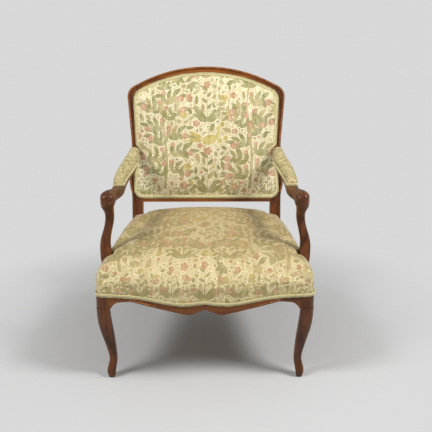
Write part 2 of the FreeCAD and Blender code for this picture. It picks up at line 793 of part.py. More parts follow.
TENON_DEPTH = "-Sizes.frame_thickness / 2 - Sizes.tenon_thickness / 2"
crest_tenon, crest_mortise = tenon_and_mortise(
    "crest",
    "Sizes.tenon_length + 5",
    "Sizes.back_tenon_height",
    "Sizes.tenon_thickness",
    (f"{post_inner} - 5", "Sizes.crest_tenon_start", TENON_DEPTH),
    lean_frame,
)
lower_tenon, lower_mortise = tenon_and_mortise(
    "lower_rail",
    "Sizes.tenon_length + 5",
    "Sizes.back_tenon_height",
    "Sizes.tenon_thickness",
    (f"{post_inner} - 5", "Sizes.lower_tenon_start", TENON_DEPTH),
    lean_frame,
)
crest_peg, crest_peg_hole = peg_and_hole(
    "crest_peg",
    leaned(post_inner_x + half_tenon, size("crest_tenon_start") + size("crest_peg_rise"), -thickness + 0.5),
    lean_forward,
    "Sizes.frame_thickness * 0.65",
)
lower_peg, lower_peg_hole = peg_and_hole(
    "lower_rail_peg",
    leaned(post_inner_x + half_tenon, size("lower_tenon_start") + size("lower_peg_rise"), -thickness + 0.5),
    lean_forward,
    "Sizes.frame_thickness * 0.65",
)

# Arm: stations from the knuckle back to the post
arm_end_up = (size("arm_end_z") - size("back_plane_z")) / math.cos(math.radians(size("lean")))
arm_end_y = leaned(0, arm_end_up, 0).y
ARM_STATIONS = [
    # share of the way to the post, aside and up from a straight line, width, height
    (0.0, 0, 1, 18, 20),
    (0.010, 0.4, 0.4, 34, 38),
    (0.0365, 1.5, -2.3, 45, 51),
    (0.077, 3.2, -4.9, 47, 50),
    (0.130, 1.3, -6.3, 43, 42),
    (0.196, -5, -12.6, 41, 34),
    (0.267, -7, -19.1, 42, 31),
    (0.3605, -3.2, -26.1, 42, 28),
    (0.4557, 0.2, -23.2, 45, 27),
    (0.571, -3.6, -18.5, 47, 27),
    (0.6887, -10.8, -13.1, 46, 27),
    (0.804, -11.5, -7.5, 40, 27),
    (0.895, -8.3, -3.3, 32, 27),
]


def arm_section(y, x, z, width, height):
    """One rounded section of the arm, upright and square to the front."""
    radius = min(width, height) * 0.36
    return rounded_square(Vector(x, y, z), X_AXIS, Z_AXIS, width / 2, height / 2, (radius,) * 4)


def arm_stations():
    """The arm's stations as y, x, z, width and height, with its end on the post."""
    start_y = size("support_y") - size("knuckle_reach")
    start_x = size("knuckle_x")
    start_z = size("knuckle_joint") + size("knuckle_rise")
    rows = []
    for share, aside, up, width, height in ARM_STATIONS:
        y = start_y + (arm_end_y - start_y) * share
        x = start_x + (size("arm_end_x") - start_x) * share + aside
        z = start_z + (size("arm_end_z") - start_z) * share + up
        rows.append((y, x, z, width, height))
    end_width = 2 * (size("post_half_width") - size("arm_end_x"))
    return rows + [(arm_end_y + 12, size("arm_end_x"), size("arm_end_z") + 3, end_width, 28)]


SUPPORT_STATIONS = [
    # share of the height, out from the foot, back from the foot, width, depth
    (0.110, 5.9, 2, 34, 52),
    (0.220, 8.4, 7, 37, 44),
    (0.322, 10.9, 12, 34, 38),
    (0.441, 8.9, 18, 32, 34),
    (0.551, 2.9, 23, 29, 32),
    (0.665, -3.6, 23, 28, 31),
    (0.771, -7.6, 16, 28, 31),
    (0.886, -7.6, 4, 31, 34),
]


def support_stations():
    """The arm support's stations: height, x, y, width and depth, from the rail up to the knuckle."""
    foot_x = side_face_x(size("support_y")) - size("lap_thickness") * 0.75
    foot_y = size("support_y")
    foot_z = size("rail_top")
    rows = [(foot_z, foot_x, foot_y, 32, size("support_spread"))]
    for share, out, back, width, depth in SUPPORT_STATIONS:
        height = foot_z + (size("knuckle_joint") - foot_z) * share
        rows.append((height, foot_x + out, foot_y + back, width, depth))
    return rows + [(size("knuckle_joint"), size("knuckle_x") + 0.5, foot_y - 18, 39, 42)]


def arm_support():
    """An S-shaped support with a lap that is let into the side rail."""
    wires = []
    for z, x, y, width, depth in support_stations():
        radius = min(width, depth) * 0.3
        wires.append(rounded_square(Vector(x, y, z), X_AXIS, Y_AXIS, width / 2, depth / 2, (radius,) * 4))
    body = shaped("arm_support_curve", Part.makeLoft(wires, True, False))
    face_x = side_face_x(size("support_y"))
    corner = Vector(
        face_x - size("lap_thickness"),
        size("support_y") - size("support_spread") / 2 + 2,
        size("lap_bottom"),
    )
    slab = Part.makeBox(100, size("support_spread") - 4, rail_high - size("lap_bottom"), corner)
    lap = shaped("arm_support_lap", slab.common(prism(frame_corners, rail_low, rail_high)))
    return fuse("arm_support_whole", body, lap)


clear = size("joint_clearance")
lap_notch = shaped(
    "lap_notch",
    Part.makeBox(
        size("lap_thickness") + 50,
        size("support_spread") - 4 + 2 * clear,
        rail_high - size("lap_bottom") + 50,
        Vector(
            side_face_x(size("support_y")) - size("lap_thickness") - clear,
            size("support_y") - size("support_spread") / 2 + 2 - clear,
            size("lap_bottom") - clear,
        ),
    ),
)
screw_start = side_face_x(size("support_y")) - size("rail_thickness") + 1
screw_height = (size("lap_bottom") + rail_high) / 2
support_screws = []
for sign in (-1, 1):
    point = Vector(screw_start, size("support_y") + sign * size("support_screw_half_pitch"), screw_height)
    name = f"support_screw_{'front' if sign < 0 else 'rear'}"
    support_screws.append(wood_screw(name, "Sizes.support_screw_length", point, X_AXIS))

dowel_axis = Vector(0, -size("dowel_lean"), 1).normalize()
joint_x = support_stations()[-1][1]
joint_y = support_stations()[-1][2]
dowel_start = Vector(joint_x, joint_y, size("knuckle_joint")) - dowel_axis * size("dowel_length") / 2
dowel = rod("dowel_right", "Sizes.dowel_diameter", "Sizes.dowel_length", dowel_start, dowel_axis)
dowel_hole = rod(
    "dowel_hole",
    f"Sizes.dowel_diameter + {CLEAR}",
    f"Sizes.dowel_length + {CLEAR}",
    dowel_start - dowel_axis * clear,
    dowel_axis,
)
support_holes = [hole for _, hole in support_screws]
pair("arm_support", cut("arm_support_right", arm_support(), dowel_hole, *support_holes))

# The pads on the arms
def along_arm(y):
    """Middle, top, and width of the arm at a place along it."""
    rows = arm_stations()
    for before, after in zip(rows, rows[1:]):
        if before[0] <= y <= after[0]:
            share = (y - before[0]) / (after[0] - before[0])
            x, z, width, height = [a + (b - a) * share for a, b in zip(before[1:], after[1:])]
            return x, z + height / 2, width
    raise ValueError(f"no arm at y = {y}")


PAD_SINK = 4


def arm_pad_form(label, grow, low, high=None):
    """A pad on the arm: D-shaped sections that swell towards the back and round down at both ends.

    grow moves its sides out and its ends on; low is its underside over the bed; high, where given, is a
    flat top instead of the crown.
    """
    start = size("arm_pad_start")
    end = size("arm_pad_end")
    length = end - start
    rise = size("arm_pad_rise") + PAD_SINK
    rows = [
        (0.0, 0.6, 0.93),
        (0.018, 0.8, 0.97),
        (0.06, 0.93, 1),
        (0.18, 1, 1.08),
        (0.32, 1, 1.16),
        (0.46, 1, 1.28),
        (0.62, 1, 1.36),
        (0.76, 1, 1.28),
        (0.88, 0.98, 1.2),
        (0.955, 0.9, 1.25),
        (0.985, 0.75, 1.15),
        (1.0, 0.5, 1),
    ]
    wires = []
    for share, height_share, width_share in rows:
        y = start + length * share
        x, top, width = along_arm(y)
        half = width * 0.48 * width_share + grow
        if share == 0:
            y -= grow
        if share == 1:
            y += grow
        if high is None:
            over_bed = rise * height_share + grow
            tall = over_bed - low
            round_top = min(half * 0.95, (over_bed - 9) * 0.98)
        else:
            tall = high - low
            round_top = size("arm_pad_edge")
        bed = top - PAD_SINK + low
        edge = size("arm_pad_edge")
        corners = [(-half, 0, edge), (half, 0, edge), (half, tall, round_top), (-half, tall, round_top)]

        def upright(point, x=x, y=y, bed=bed):
            return Vector(x + point.x, y, bed + point.y)

        wires.append(outline(corners, upright))
    return shaped(label, Part.makeLoft(wires, True, True))


arm_tenon, arm_mortise = tenon_and_mortise(
    "arm",
    "Sizes.tenon_thickness",
    "Sizes.arm_tenon_height",
    "Sizes.arm_tenon_length + 8",
    (
        "Sizes.arm_end_x - Sizes.tenon_thickness / 2",
        f"{arm_end_up} - Sizes.arm_tenon_height / 2",
        "-Sizes.arm_tenon_length",
    ),
    lean_frame,
)
arm_curve = shaped("arm_curve", Part.makeLoft([arm_section(*row) for row in arm_stations()], True, False))
face_room = Part.makeBox(1000, 600, 200, Vector(-100, -100, -200))
behind_face = shaped("behind_the_post_face", face_room, lean_frame)
under_knuckle = shaped(
    "under_the_knuckle",
    Part.makeBox(80, 88, 60, Vector(joint_x - 40, joint_y - 50, size("knuckle_joint") - 60)),
)
pad_bed = arm_pad_form("arm_pad_bed", size("gimp_thickness") + 2 * size("cloth_gap"), 0, 60)
arm_trimmed = cut("arm_trimmed", arm_curve, behind_face, under_knuckle, dowel_hole, pad_bed)
pair("arm", fuse("arm_right", arm_trimmed, arm_tenon))

# Webbing and its tacks
web = size("webbing_thickness")
gap = size("cloth_gap")
rear_y = size("post_face_y") + size("post_depth")


def front_face_y(x):
    """Y of the front line of the seat near its middle."""
    hollow_y = -size("hollow_forward")
    middle_y = frame_corners[0][1]
    radius = ARC_SHARE * size("hollow_half_width") / math.sin(
        math.atan2(hollow_y - middle_y, size("hollow_half_width"))
    )
    return -size("front_bow") + radius - math.sqrt(radius * radius - x * x)


def strip(label, centre, half_across, half_along, frame=None):
    """One strip of webbing, flat, with its thickness upwards from its centre."""
    shape = Part.makeBox(
        2 * half_across, 2 * half_along, web, centre - Vector(half_across, half_along, 0)
    )
    return shaped(label, shape, frame)


def tack(label, x, y, height, frame):
    """A tack with its head on the webbing, and its hole."""
    point = Vector(x, y, height)
    down = Rotation(X_AXIS, 180)
    shank = doc.addObject("Part::Cone", label + "_shank")
    shank.setExpression("Radius1", "Sizes.tack_shank / 2")
    shank.setExpression("Radius2", "Sizes.tack_shank / 6")
    shank.setExpression("Height", "Sizes.tack_length")
    shank.Placement = frame.multiply(Placement(point, down))
    head = rod(label + "_head", "Sizes.tack_head", "Sizes.tack_head_height", point, Z_AXIS)
    head.Placement = frame.multiply(head.Placement)
    hole = rod(label + "_hole", f"Sizes.tack_shank + {CLEAR}", "Sizes.tack_length + 5", point, -Z_AXIS)
    hole.Placement = frame.multiply(Placement(point + Z_AXIS, down))
    return fuse(label, shank, head), hole


def webbing_layer(label, rows, height, frame, lengthwise):
    """Strips of webbing with two tacks at each end. The rows are (place, low end, high end)."""
    strips = []
    tacks = []
    holes = []
    half = size("webbing_width") / 2
    for index, (place, low, high) in enumerate(rows):
        middle = (low + high) / 2
        reach = (high - low) / 2
        centre = Vector(place, middle, height) if lengthwise else Vector(middle, place, height)
        spans = (half, reach) if lengthwise else (reach, half)
        strips.append(strip(f"{label}_strip_{index + 1}", centre, *spans, frame))
        for end, along in enumerate((low + size("tack_inset"), high - size("tack_inset"))):
            for side in (-1, 1):
                across = place + side * size("tack_half_pitch")
                point = (across, along) if lengthwise else (along, across)
                name = f"{label}_tack_{index + 1}{'ab'[end]}{'ab'[side > 0]}"
                one, hole = tack(name, *point, height + web, frame)
                tacks.append(one)
                holes.append(hole)
    return strips, tacks, holes


ground = Placement()
lengthwise_rows = []
for index in range(int(size("webbing_count_x"))):
    x = (index - (size("webbing_count_x") - 1) / 2) * size("webbing_pitch_x")
    low = front_face_y(x) + size("rail_thickness") - size("webbing_hold")
    lengthwise_rows.append((x, low, rear_y - size("back_rail_thickness") + size("webbing_hold")))
crosswise_rows = []
for index in range(int(size("webbing_count_y")) + 1):
    y = size("webbing_rear_y") + (index - 1) * size("webbing_pitch_y")
    if index == 0:
        y = size("webbing_front_y")
    half = side_face_x(y) - size("rail_thickness") + size("webbing_hold")
    crosswise_rows.append((y, -half, half))
lengthwise = webbing_layer("seat_lengthwise", lengthwise_rows, rail_high, ground, True)
long_strips, long_tacks, long_holes = lengthwise
cross_strips, cross_tacks, cross_holes = webbing_layer(
    "seat_crosswise", crosswise_rows, rail_high + web + gap, ground, False
)
long_hole_set = compound("lengthwise_tack_holes", long_holes)
cross_hole_set = compound("crosswise_tack_holes", cross_holes)


# The webbing of the back, drawn in the leaned plane
def pad_top(x):
    """Height of the pad's top edge up the back, near its middle."""
    radius = size("crest_radius")
    return size("crest_height") - size("show_crest") - radius + math.sqrt(radius * radius - x * x)


def pad_side(up):
    """Half width of the back pad at a height up the back."""
    low_x = size("bulge_half_width") - size("show_low")
    waist_x = size("waist_half_width") - size("show_waist")
    high_x = size("shoulder_half_width") - size("show_shoulder")
    high_y = crest_vertex(pad_top(0)) - high_x * math.tan(math.radians(size("crest_slope")))
    waist = size("waist_height")
    if up < waist:
        return low_x + (waist_x - low_x) * (up - size("pad_bottom")) / (waist - size("pad_bottom"))
    return waist_x + (high_x - waist_x) * (up - waist) / (high_y - waist)


end_gap = size("webbing_end_gap")
upright_rows = []
across_rows = []
for index in range(int(size("back_webbing_count"))):
    place = (index - (size("back_webbing_count") - 1) / 2) * size("back_webbing_pitch")
    top = pad_top(abs(place) + size("webbing_width") / 2) - end_gap
    upright_rows.append((place, size("pad_bottom") + end_gap, top))
    up = size("back_webbing_middle") + place
    edge = size("webbing_width") / 2
    half = min(pad_side(up - edge), pad_side(up + edge), pad_side(up))
    across_rows.append((up, -half + end_gap, half - end_gap))
up_strips, up_tacks, up_holes = webbing_layer("back_upright", upright_rows, ledge_front, lean_frame, True)
over_strips, over_tacks, over_holes = webbing_layer(
    "back_crosswise", across_rows, ledge_front + web + gap, lean_frame, False
)
up_hole_set = compound("upright_tack_holes", up_holes)
over_hole_set = compound("back_crosswise_tack_holes", over_holes)

# Back posts and the rails between them
leg_curve, leg_block_box, leg_neck = back_leg()
post_whole = fuse("back_post_whole", leg_curve, leg_block_box, leg_neck, stile)
pair(
    "back_post",
    cut(
        "back_post_right",
        post_whole,
        rear_mortise,
        back_mortise,
        crest_mortise,
        lower_mortise,
        arm_mortise,
        rear_screw_hole,
        rear_peg_hole,
        back_peg_hole,
        crest_peg_hole,
        lower_peg_hole,
        over_hole_set,
    ),
)


def both_ends(label, source):
    """Join a joinery piece with its mirror image, for a rail that spans the chair."""
    return compound(label, [source, mirrored(label + "_left_end", source)])


crest_tenons = both_ends("crest_tenons", crest_tenon)
keep(
    cut(
        "crest_rail",
        fuse("crest_joined", crest_sawn, crest_tenons),
        both_ends("crest_bores", crest_peg_hole),
        up_hole_set,
    )
)
lower_tenons = both_ends("lower_rail_tenons", lower_tenon)
keep(
    cut(
        "lower_back_rail",
        fuse("lower_rail_joined", lower_sawn, lower_tenons),
        both_ends("lower_rail_bores", lower_peg_hole),
        up_hole_set,
    )
)


# Seat rails
def below_front_line():
    """The space under the shaped lower edge of the front rail."""
    edge = size("rail_bottom")
    points = [
        (0, edge + size("notch_rise")),
        (size("lobe_half_width"), edge - size("lobe_drop")),
        (size("arch_half_width"), edge + size("arch_rise")),
        (size("arch_end_half_width"), edge + size("arch_end_rise")),
        (inner_x - 2, edge - 1),
        (beyond, edge - 1),
    ]
    line = front_line(points, [12, 40, 90, 30, 8, LEAST_RADIUS])
    corners = [(-beyond, edge - 100, LEAST_RADIUS), (beyond, edge - 100, LEAST_RADIUS)]
    corners += list(reversed(line))
    return wall(corners, "below_the_front_rail", -200, 100)


front_region = box(
    "front_rail_region",
    f"2 * {leg_inner}",
    "200",
    "Sizes.rail_top",
    (f"-{leg_inner}", "-120", "0"),
)
front_sawn = common("front_rail_sawn", rail_ring, front_region)
front_joined = fuse("front_rail_joined", front_sawn, both_ends("front_rail_tenons", front_tenon))
keep(
    cut(
        "front_seat_rail",
        front_joined,
        rebate_cutter,
        below_front_line(),
        both_ends("front_rail_bores", front_peg_hole),
        long_hole_set,
    )
)

side_region = box(
    "side_rail_region",
    "Sizes.corner_half_width",
    "Sizes.post_face_y - Sizes.leg_block",
    "Sizes.rail_top",
    (f"{post_inner} / 2", "Sizes.leg_block", "0"),
)
side_sawn = common("side_rail_sawn", rail_ring, side_region)


def below_side_line():
    """The shallow hollow under a side rail."""
    edge = size("rail_bottom")
    low_y = size("leg_block") + 30
    high_y = size("post_face_y") - 30
    corners = [
        (low_y, rail_low - 5, 2),
        (high_y, rail_low - 5, 2),
        (high_y - 50, edge + size("side_arch_rise"), 80),
        (low_y + 50, edge + size("side_arch_rise"), 80),
    ]
    wire = outline(corners, lambda point: Vector(0, point.x, point.y))
    return shaped("below_the_side_rail", Part.Face(wire).extrude(Vector(beyond, 0, 0)))


side_level = box(
    "side_rail_level",
    "Sizes.corner_half_width + 50",
    "Sizes.post_face_y",
    "Sizes.rail_bottom",
    ("0", "0", "0"),
)
side_trimmed = cut("side_rail_trimmed", side_sawn, side_level, below_side_line(), rebate_cutter, lap_notch)
side_joined = fuse("side_rail_joined", side_trimmed, side_tenon, rear_tenon)
side_bores = [side_peg_hole, rear_peg_hole, cross_hole_set] + support_holes
pair("side_seat_rail", cut("side_seat_rail_right", side_joined, *side_bores))


# The back seat rail is a straight board
def origin_plane(body, role):
    """Find one of a body's own origin planes."""
    return [feature for feature in body.Origin.OriginFeatures if feature.Role == role][0]


def rectangle_sketch(body, name, plane, width, height):
    """A rectangle centred on the body's origin; width and height are expressions."""
    sketch = body.newObject("Sketcher::SketchObject", name)
    sketch.AttachmentSupport = [(origin_plane(body, plane), "")]
    sketch.MapMode = "FlatFace"
    corners = [Vector(-5, -5, 0), Vector(5, -5, 0), Vector(5, 5, 0), Vector(-5, 5, 0)]
    for index in range(4):
        sketch.addGeometry(Part.LineSegment(corners[index], corners[(index + 1) % 4]))
    for index in range(4):
        sketch.addConstraint(Sketcher.Constraint("Coincident", index, 2, (index + 1) % 4, 1))
    for index in (0, 2):
        sketch.addConstraint(Sketcher.Constraint("Horizontal", index))
    for index in (1, 3):
        sketch.addConstraint(Sketcher.Constraint("Vertical", index))
    sketch.addConstraint(Sketcher.Constraint("Symmetric", 0, 1, 2, 1, -1, 1))
    for kind, line, name, value in (("DistanceX", 0, "wide", width), ("DistanceY", 1, "high", height)):
        number = sketch.addConstraint(Sketcher.Constraint(kind, line, 1, line, 2, 10))
        sketch.renameConstraint(number, name)
        sketch.setExpression(f"Constraints.{name}", value)
    return sketch


def board(label, plane, width, height, thickness, middle):
    """A flat piece padded from a centred rectangle, with its middle at a point; sizes are expressions."""
    body = doc.addObject("PartDesign::Body", label)
    sketch = rectangle_sketch(body, label + "_sketch", plane, width, height)
    pad = body.newObject("PartDesign::Pad", label + "_pad")
    pad.Profile = sketch
    pad.setExpression("Length", thickness)
    pad.Midplane = True
    body.Placement = Placement(middle, Rotation())
    return body


board_middle = Vector(0, rear_y - size("back_rail_thickness") / 2, (size("rail_bottom") + rail_high) / 2)
back_board = board(
    "back_rail_board",
    "XZ_Plane",
    f"2 * {post_inner}",
    "Sizes.rail_top - Sizes.rail_bottom",
    "Sizes.back_rail_thickness",
    board_middle,
)
back_joined = fuse("back_rail_joined", back_board, both_ends("back_rail_tenons", back_tenon))
back_rebate = box(
    "back_rail_rebate",
    f"2 * {post_inner} - {CLEAR}",
    "Sizes.rebate + 10",
    "Sizes.rail_top - Sizes.cover_line + 10",
    (
        f"-{post_inner} + Sizes.joint_clearance",
        "Sizes.post_face_y + Sizes.post_depth - Sizes.rebate",
        "Sizes.cover_line",
    ),
)
back_bores = both_ends("back_rail_bores", back_peg_hole)
keep(cut("back_seat_rail", back_joined, back_rebate, back_bores, long_hole_set))


# Corner blocks, scribed to the rails
def corner_block(name, corner, to_back, obstacle, hole):
    """A block behind a leg or post: a diagonal slab that is fitted between the rails."""
    reach = 300
    depth = size("block_depth")
    angle = 45 if to_back > 0 else -45
    slab = Part.makeBox(reach, 2 * reach, 100, Vector(-depth, -reach, -50))
    slab.Placement = Placement(corner, Rotation(Z_AXIS, angle))
    room = prism(frame_corners, size("block_bottom"), size("block_top"), size("rail_thickness"))
    room = room.common(
        Part.makeBox(500, rear_y - size("back_rail_thickness") + 200, 500, Vector(0, -200, 0))
    )
    blank = shaped(name + "_blank", slab.common(room))
    pair(name, cut(name + "_right", blank, obstacle, hole))


corner_block("front_corner_block", front_corner, -1, doc.getObject("front_leg_block"), front_screw_hole)
corner_block("rear_corner_block", rear_corner, 1, leg_block_box, rear_screw_hole)


def whole_set(label, members):
    """Keep small right-hand pieces and their mirror images as one group of separate solids."""
    right = compound(label + "_right_set", members)
    keep(compound(label, [right, mirrored(label + "_left_set", right)]))


whole_set("corner_block_screws", [front_screw, rear_screw])
whole_set("arm_support_screws", [screw for screw, _ in support_screws])
whole_set("arm_dowels", [dowel])
whole_set("joint_pegs", [front_peg, side_peg, rear_peg, back_peg, crest_peg, lower_peg])



def webbing_pieces(label, strips, holes, tacks):
    """Keep the strips of one layer, bored for their tacks."""
    keep(cut(label, compound(label + "_strips", strips), holes))
    return tacks


seat_tacks = webbing_pieces("seat_webbing_lengthwise", long_strips, long_hole_set, long_tacks)
seat_tacks += webbing_pieces("seat_webbing_crosswise", cross_strips, cross_hole_set, cross_tacks)
keep(compound("seat_webbing_tacks", seat_tacks))

# Seat upholstery
hessian_low = rail_high + 2 * web + size("tack_head_height") + 2 * gap
hessian_high = hessian_low + size("hessian_thickness")
cover = size("cover_thickness")
cover_inset = size("rebate") - gap - cover


def notch_for_support():
    """Room in the seat's upholstery round the foot of an arm support."""
    spare = size("support_notch")
    reach = size("support_spread") / 2 + spare
    low_x = side_face_x(size("support_y")) - size("lap_thickness") * 0.75 - 16 - spare
    corner = Vector(low_x, size("support_y") - reach, size("lap_bottom") - 2)
    return Part.makeBox(200, 2 * reach, 250, corner)


notch = shaped("support_room", notch_for_support())
notches = both_ends("support_rooms", notch)


def seat_stack(label, inward, start):
    """The seat's crowned form, drawn in by a distance, from a start height up.

    The rows are height at the front, inset, share of the full outline and share of the rise to the back.
    """
    roll = size("seat_roll")
    crown = size("seat_crown")
    rows = [
        (roll - 27, 1.2, 1, 0.35),
        (roll - 13, 3, 1, 0.7),
        (roll - 4, 9, 1, 0.9),
        (roll + 3, 21, 1, 1),
        (roll + 0.3 * crown, 21, 0.93, 1),
        (roll + 0.56 * crown, 21, 0.82, 1),
        (roll + 0.78 * crown, 21, 0.68, 1),
        (roll + 0.93 * crown, 21, 0.5, 1),
        (roll + crown, 21, 0.3, 1),
    ]
    wires = [outline(cover_corners, flat(start), cover_inset + inward)]
    wires.append(outline(cover_corners, flat(hessian_high + 1), cover_inset + inward))
    middle_y = (rear_y - size("front_bow")) / 2
    for height, inset, share, tilt in rows:
        low = height - inward
        rise = size("seat_rise") * tilt

        def tilted(point, low=low, share=share, rise=rise):
            y = middle_y + (point.y - middle_y) * share
            return Vector(point.x * share, y, low + rise * y)

        wires.append(outline(cover_corners, tilted, inset + inward))
    return shaped(label, Part.makeLoft(wires, True, True))


hessian_inset = cover_inset + cover + 6
keep(
    cut(
        "seat_hessian",
        shaped("seat_hessian_sheet", prism(cover_corners, hessian_low, hessian_high, hessian_inset)),
        notches,
    )
)
stuffing_inward = cover + gap
seat_stuffing = seat_stack("seat_stuffing_form", stuffing_inward, hessian_high + gap)
keep(cut("seat_stuffing", seat_stuffing, notches))
seat_cover_low = size("cover_line") - size("dip_depth") - 10
seat_outside = seat_stack("seat_cover_outside", 0, seat_cover_low)
seat_inside = seat_stack("seat_cover_inside", cover, seat_cover_low - 5)
frame_core = shaped(
    "frame_core",
    prism(frame_corners, rail_low, rail_high + gap, size("rebate")).common(
        Part.makeBox(2 * beyond, rear_y - size("rebate") + 200, 500, Vector(-beyond, -200, 0))
    ),
)
seat_skin = cut("seat_cover_skin", seat_outside, seat_inside, notches, frame_core)
keep(common("seat_cover", seat_skin, above("above_cover_edge", gap)))

# Seat braid along the cover's lower edge
braid = size("gimp_thickness")
braid_ring = shaped(
    "seat_gimp_ring",
    prism(cover_corners, seat_cover_low - 10, rail_high, -gap - braid).cut(
        prism(cover_corners, seat_cover_low - 11, rail_high + 1, -gap)
    ),
)
braid_band = cut(
    "seat_gimp_band",
    above("above_braid_low", -size("gimp_below")),
    above("above_braid_high", size("gimp_width") - size("gimp_below")),
)
post_room = box(
    "post_room",
    "Sizes.post_width + 7",
    "Sizes.post_depth + 12",
    "Sizes.rail_top",
    (f"{post_inner} - 4", "Sizes.post_face_y - 4", "0"),
)
keep(cut("seat_gimp", common("seat_gimp_whole", braid_ring, braid_band), both_ends("post_rooms", post_room)))


# Back upholstery, drawn in the leaned plane
back_tacks = webbing_pieces("back_webbing_upright", up_strips, up_hole_set, up_tacks)
back_tacks += webbing_pieces("back_webbing_crosswise", over_strips, over_hole_set, over_tacks)
keep(compound("back_webbing_tacks", back_tacks))
back_hessian_low = ledge_front + 2 * web + size("tack_head_height") + 2 * gap
back_hessian_high = back_hessian_low + size("hessian_thickness")
keep(
    shaped(
        "back_hessian",
        prism(pad_outer, back_hessian_low, back_hessian_high, gap + cover + 2),
        lean_frame,
    )
)


def back_stack(inward, start):
    """The back pad's crowned form, drawn in by a distance, from a start height out of the frame."""
    crown = size("back_crown")
    edge = gap + size("gimp_width")
    rows = [
        (1.6, gap),
        (2.2, edge + 0.1),
        (2.2 + crown * 0.2, edge + 1.5),
        (2.2 + crown * 0.43, edge + 7),
        (2.2 + crown * 0.64, edge + 18),
        (2.2 + crown * 0.79, edge + 36),
        (2.2 + crown * 0.9, edge + 62),
        (2.2 + crown * 0.97, edge + 96),
        (2.2 + crown, edge + 132),
    ]
    levels = [(start, gap + inward)] + [(height - inward, inset + inward) for height, inset in rows]
    return stack(pad_outer, levels)


arm_room = shaped(
    "arm_room",
    Part.makeBox(
        100,
        34,
        100,
        Vector(size("arm_end_x") - 17, arm_end_up - 17, back_hessian_low - 1),
    ),
    lean_frame,
)
arm_rooms = both_ends("arm_rooms", arm_room)
stuffing_stack = back_stack(stuffing_inward, back_hessian_high + gap)
back_stuffing = shaped("back_stuffing_form", stuffing_stack, lean_frame)
keep(cut("back_stuffing", back_stuffing, arm_rooms))
back_outside = shaped("back_cover_outside", back_stack(0, ledge_front + gap), lean_frame)
back_inside = shaped("back_cover_inside", back_stack(cover, ledge_front - 2), lean_frame)
keep(cut("back_cover", back_outside, back_inside, arm_rooms))


def pad_braid(label, low):
    """A ring of braid round the pad, lying flat at a height out of the frame."""
    ring = prism(pad_outer, low, low + braid, gap).cut(
        prism(pad_outer, low - 1, low + braid + 1, size("gimp_width"))
    )
    return shaped(label, ring, lean_frame)


keep(cut("back_gimp", pad_braid("back_gimp_ring", 2.2 + gap), arm_rooms))
outer_cover_low = ledge_rear - gap - cover
keep(shaped("outer_back_cover", prism(pad_outer, outer_cover_low, ledge_rear - gap, gap), lean_frame))
keep(pad_braid("outer_back_gimp", outer_cover_low - gap - braid))


# Arm pads
arm_stuffing = arm_pad_form("arm_pad_stuffing_form", -cover - gap, gap)
pair("arm_pad_stuffing", compound("arm_pad_stuffing_right", [arm_stuffing]))
arm_skin = cut(
    "arm_pad_cover_right",
    arm_pad_form("arm_pad_outside", 0, gap),
    arm_pad_form("arm_pad_inside", -cover, -5),
)
pair("arm_pad_cover", arm_skin)
arm_braid_high = size("arm_gimp_height") + gap
arm_braid = cut(
    "arm_pad_gimp_right",
    arm_pad_form("arm_braid_outside", gap + braid, gap, arm_braid_high),
    arm_pad_form("arm_braid_inside", gap, -5, arm_braid_high + 5),
)
pair("arm_pad_gimp", arm_braid)


# Place every piece so that the origin is on the floor under the middle of the chair
def middle_y(pieces):
    """Y of the middle of the whole chair, from the front of the seat braid to the back of the crest."""
    lows = []
    highs = []
    for piece in pieces:
        bounds = piece.Shape.optimalBoundingBox(False, False)
        lows.append(bounds.YMin)
        highs.append(bounds.YMax)
    return (min(lows) + max(highs)) / 2


def place_parts():
    """Shift each piece; a mirror image follows its source."""
    outer = [piece for piece in parts if piece.Label in ("seat_gimp", "crest_rail", "back_post_right")]
    shift = Placement(Vector(0, -middle_y(outer), 0), Rotation())
    for piece in parts:
        if piece.TypeId != "Part::Mirroring":
            piece.Placement = shift.multiply(piece.Placement)
    doc.recompute()
    return shift


def check_document():
    """Stop with a plain message if any object failed or any piece is not sound."""
    for item in doc.Objects:
        bad = [state for state in item.State if state in ("Invalid", "Error")]
        if bad:
            raise RuntimeError(f"{item.Label} is {bad[0]}")
    for piece in parts:
        if piece.Shape.isNull() or not piece.Shape.isValid() or not piece.Shape.Solids:
            raise RuntimeError(f"{piece.Label} has no sound solid")


def write_parts():
    """Write each piece to its own STEP file."""
    os.makedirs("parts", exist_ok=True)
    for piece in parts:
        piece.Shape.exportStep(f"parts/{piece.Label}.step")
        print(f"{piece.Label}: {len(piece.Shape.Solids)} solid(s), {piece.Shape.Volume / 1000:.1f} cm3")


doc.recompute()
check_document()
moved = place_parts()
check_document()
write_parts()
print(f"{len(parts)} pieces; the datum lies at y = {moved.Base.y:.2f}")
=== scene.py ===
# %% [markdown]
# # An upholstered open armchair
#
# The chair is a walnut frame with a serpentine seat, cabriole legs and an arched back that leans a little.
# Seat, back and arms are stuffed and covered in a figured cloth, and a narrow braid hides each edge where
# the cloth is tacked down. The script loads the joiner's model as a fixed frame and dresses it, one piece
# and one finish at a time. All lengths are metres. X is to the right, Y to the back and Z up.

import math
import random

import bmesh
import bpy
import numpy as np
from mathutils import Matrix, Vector
from mathutils.bvhtree import BVHTree


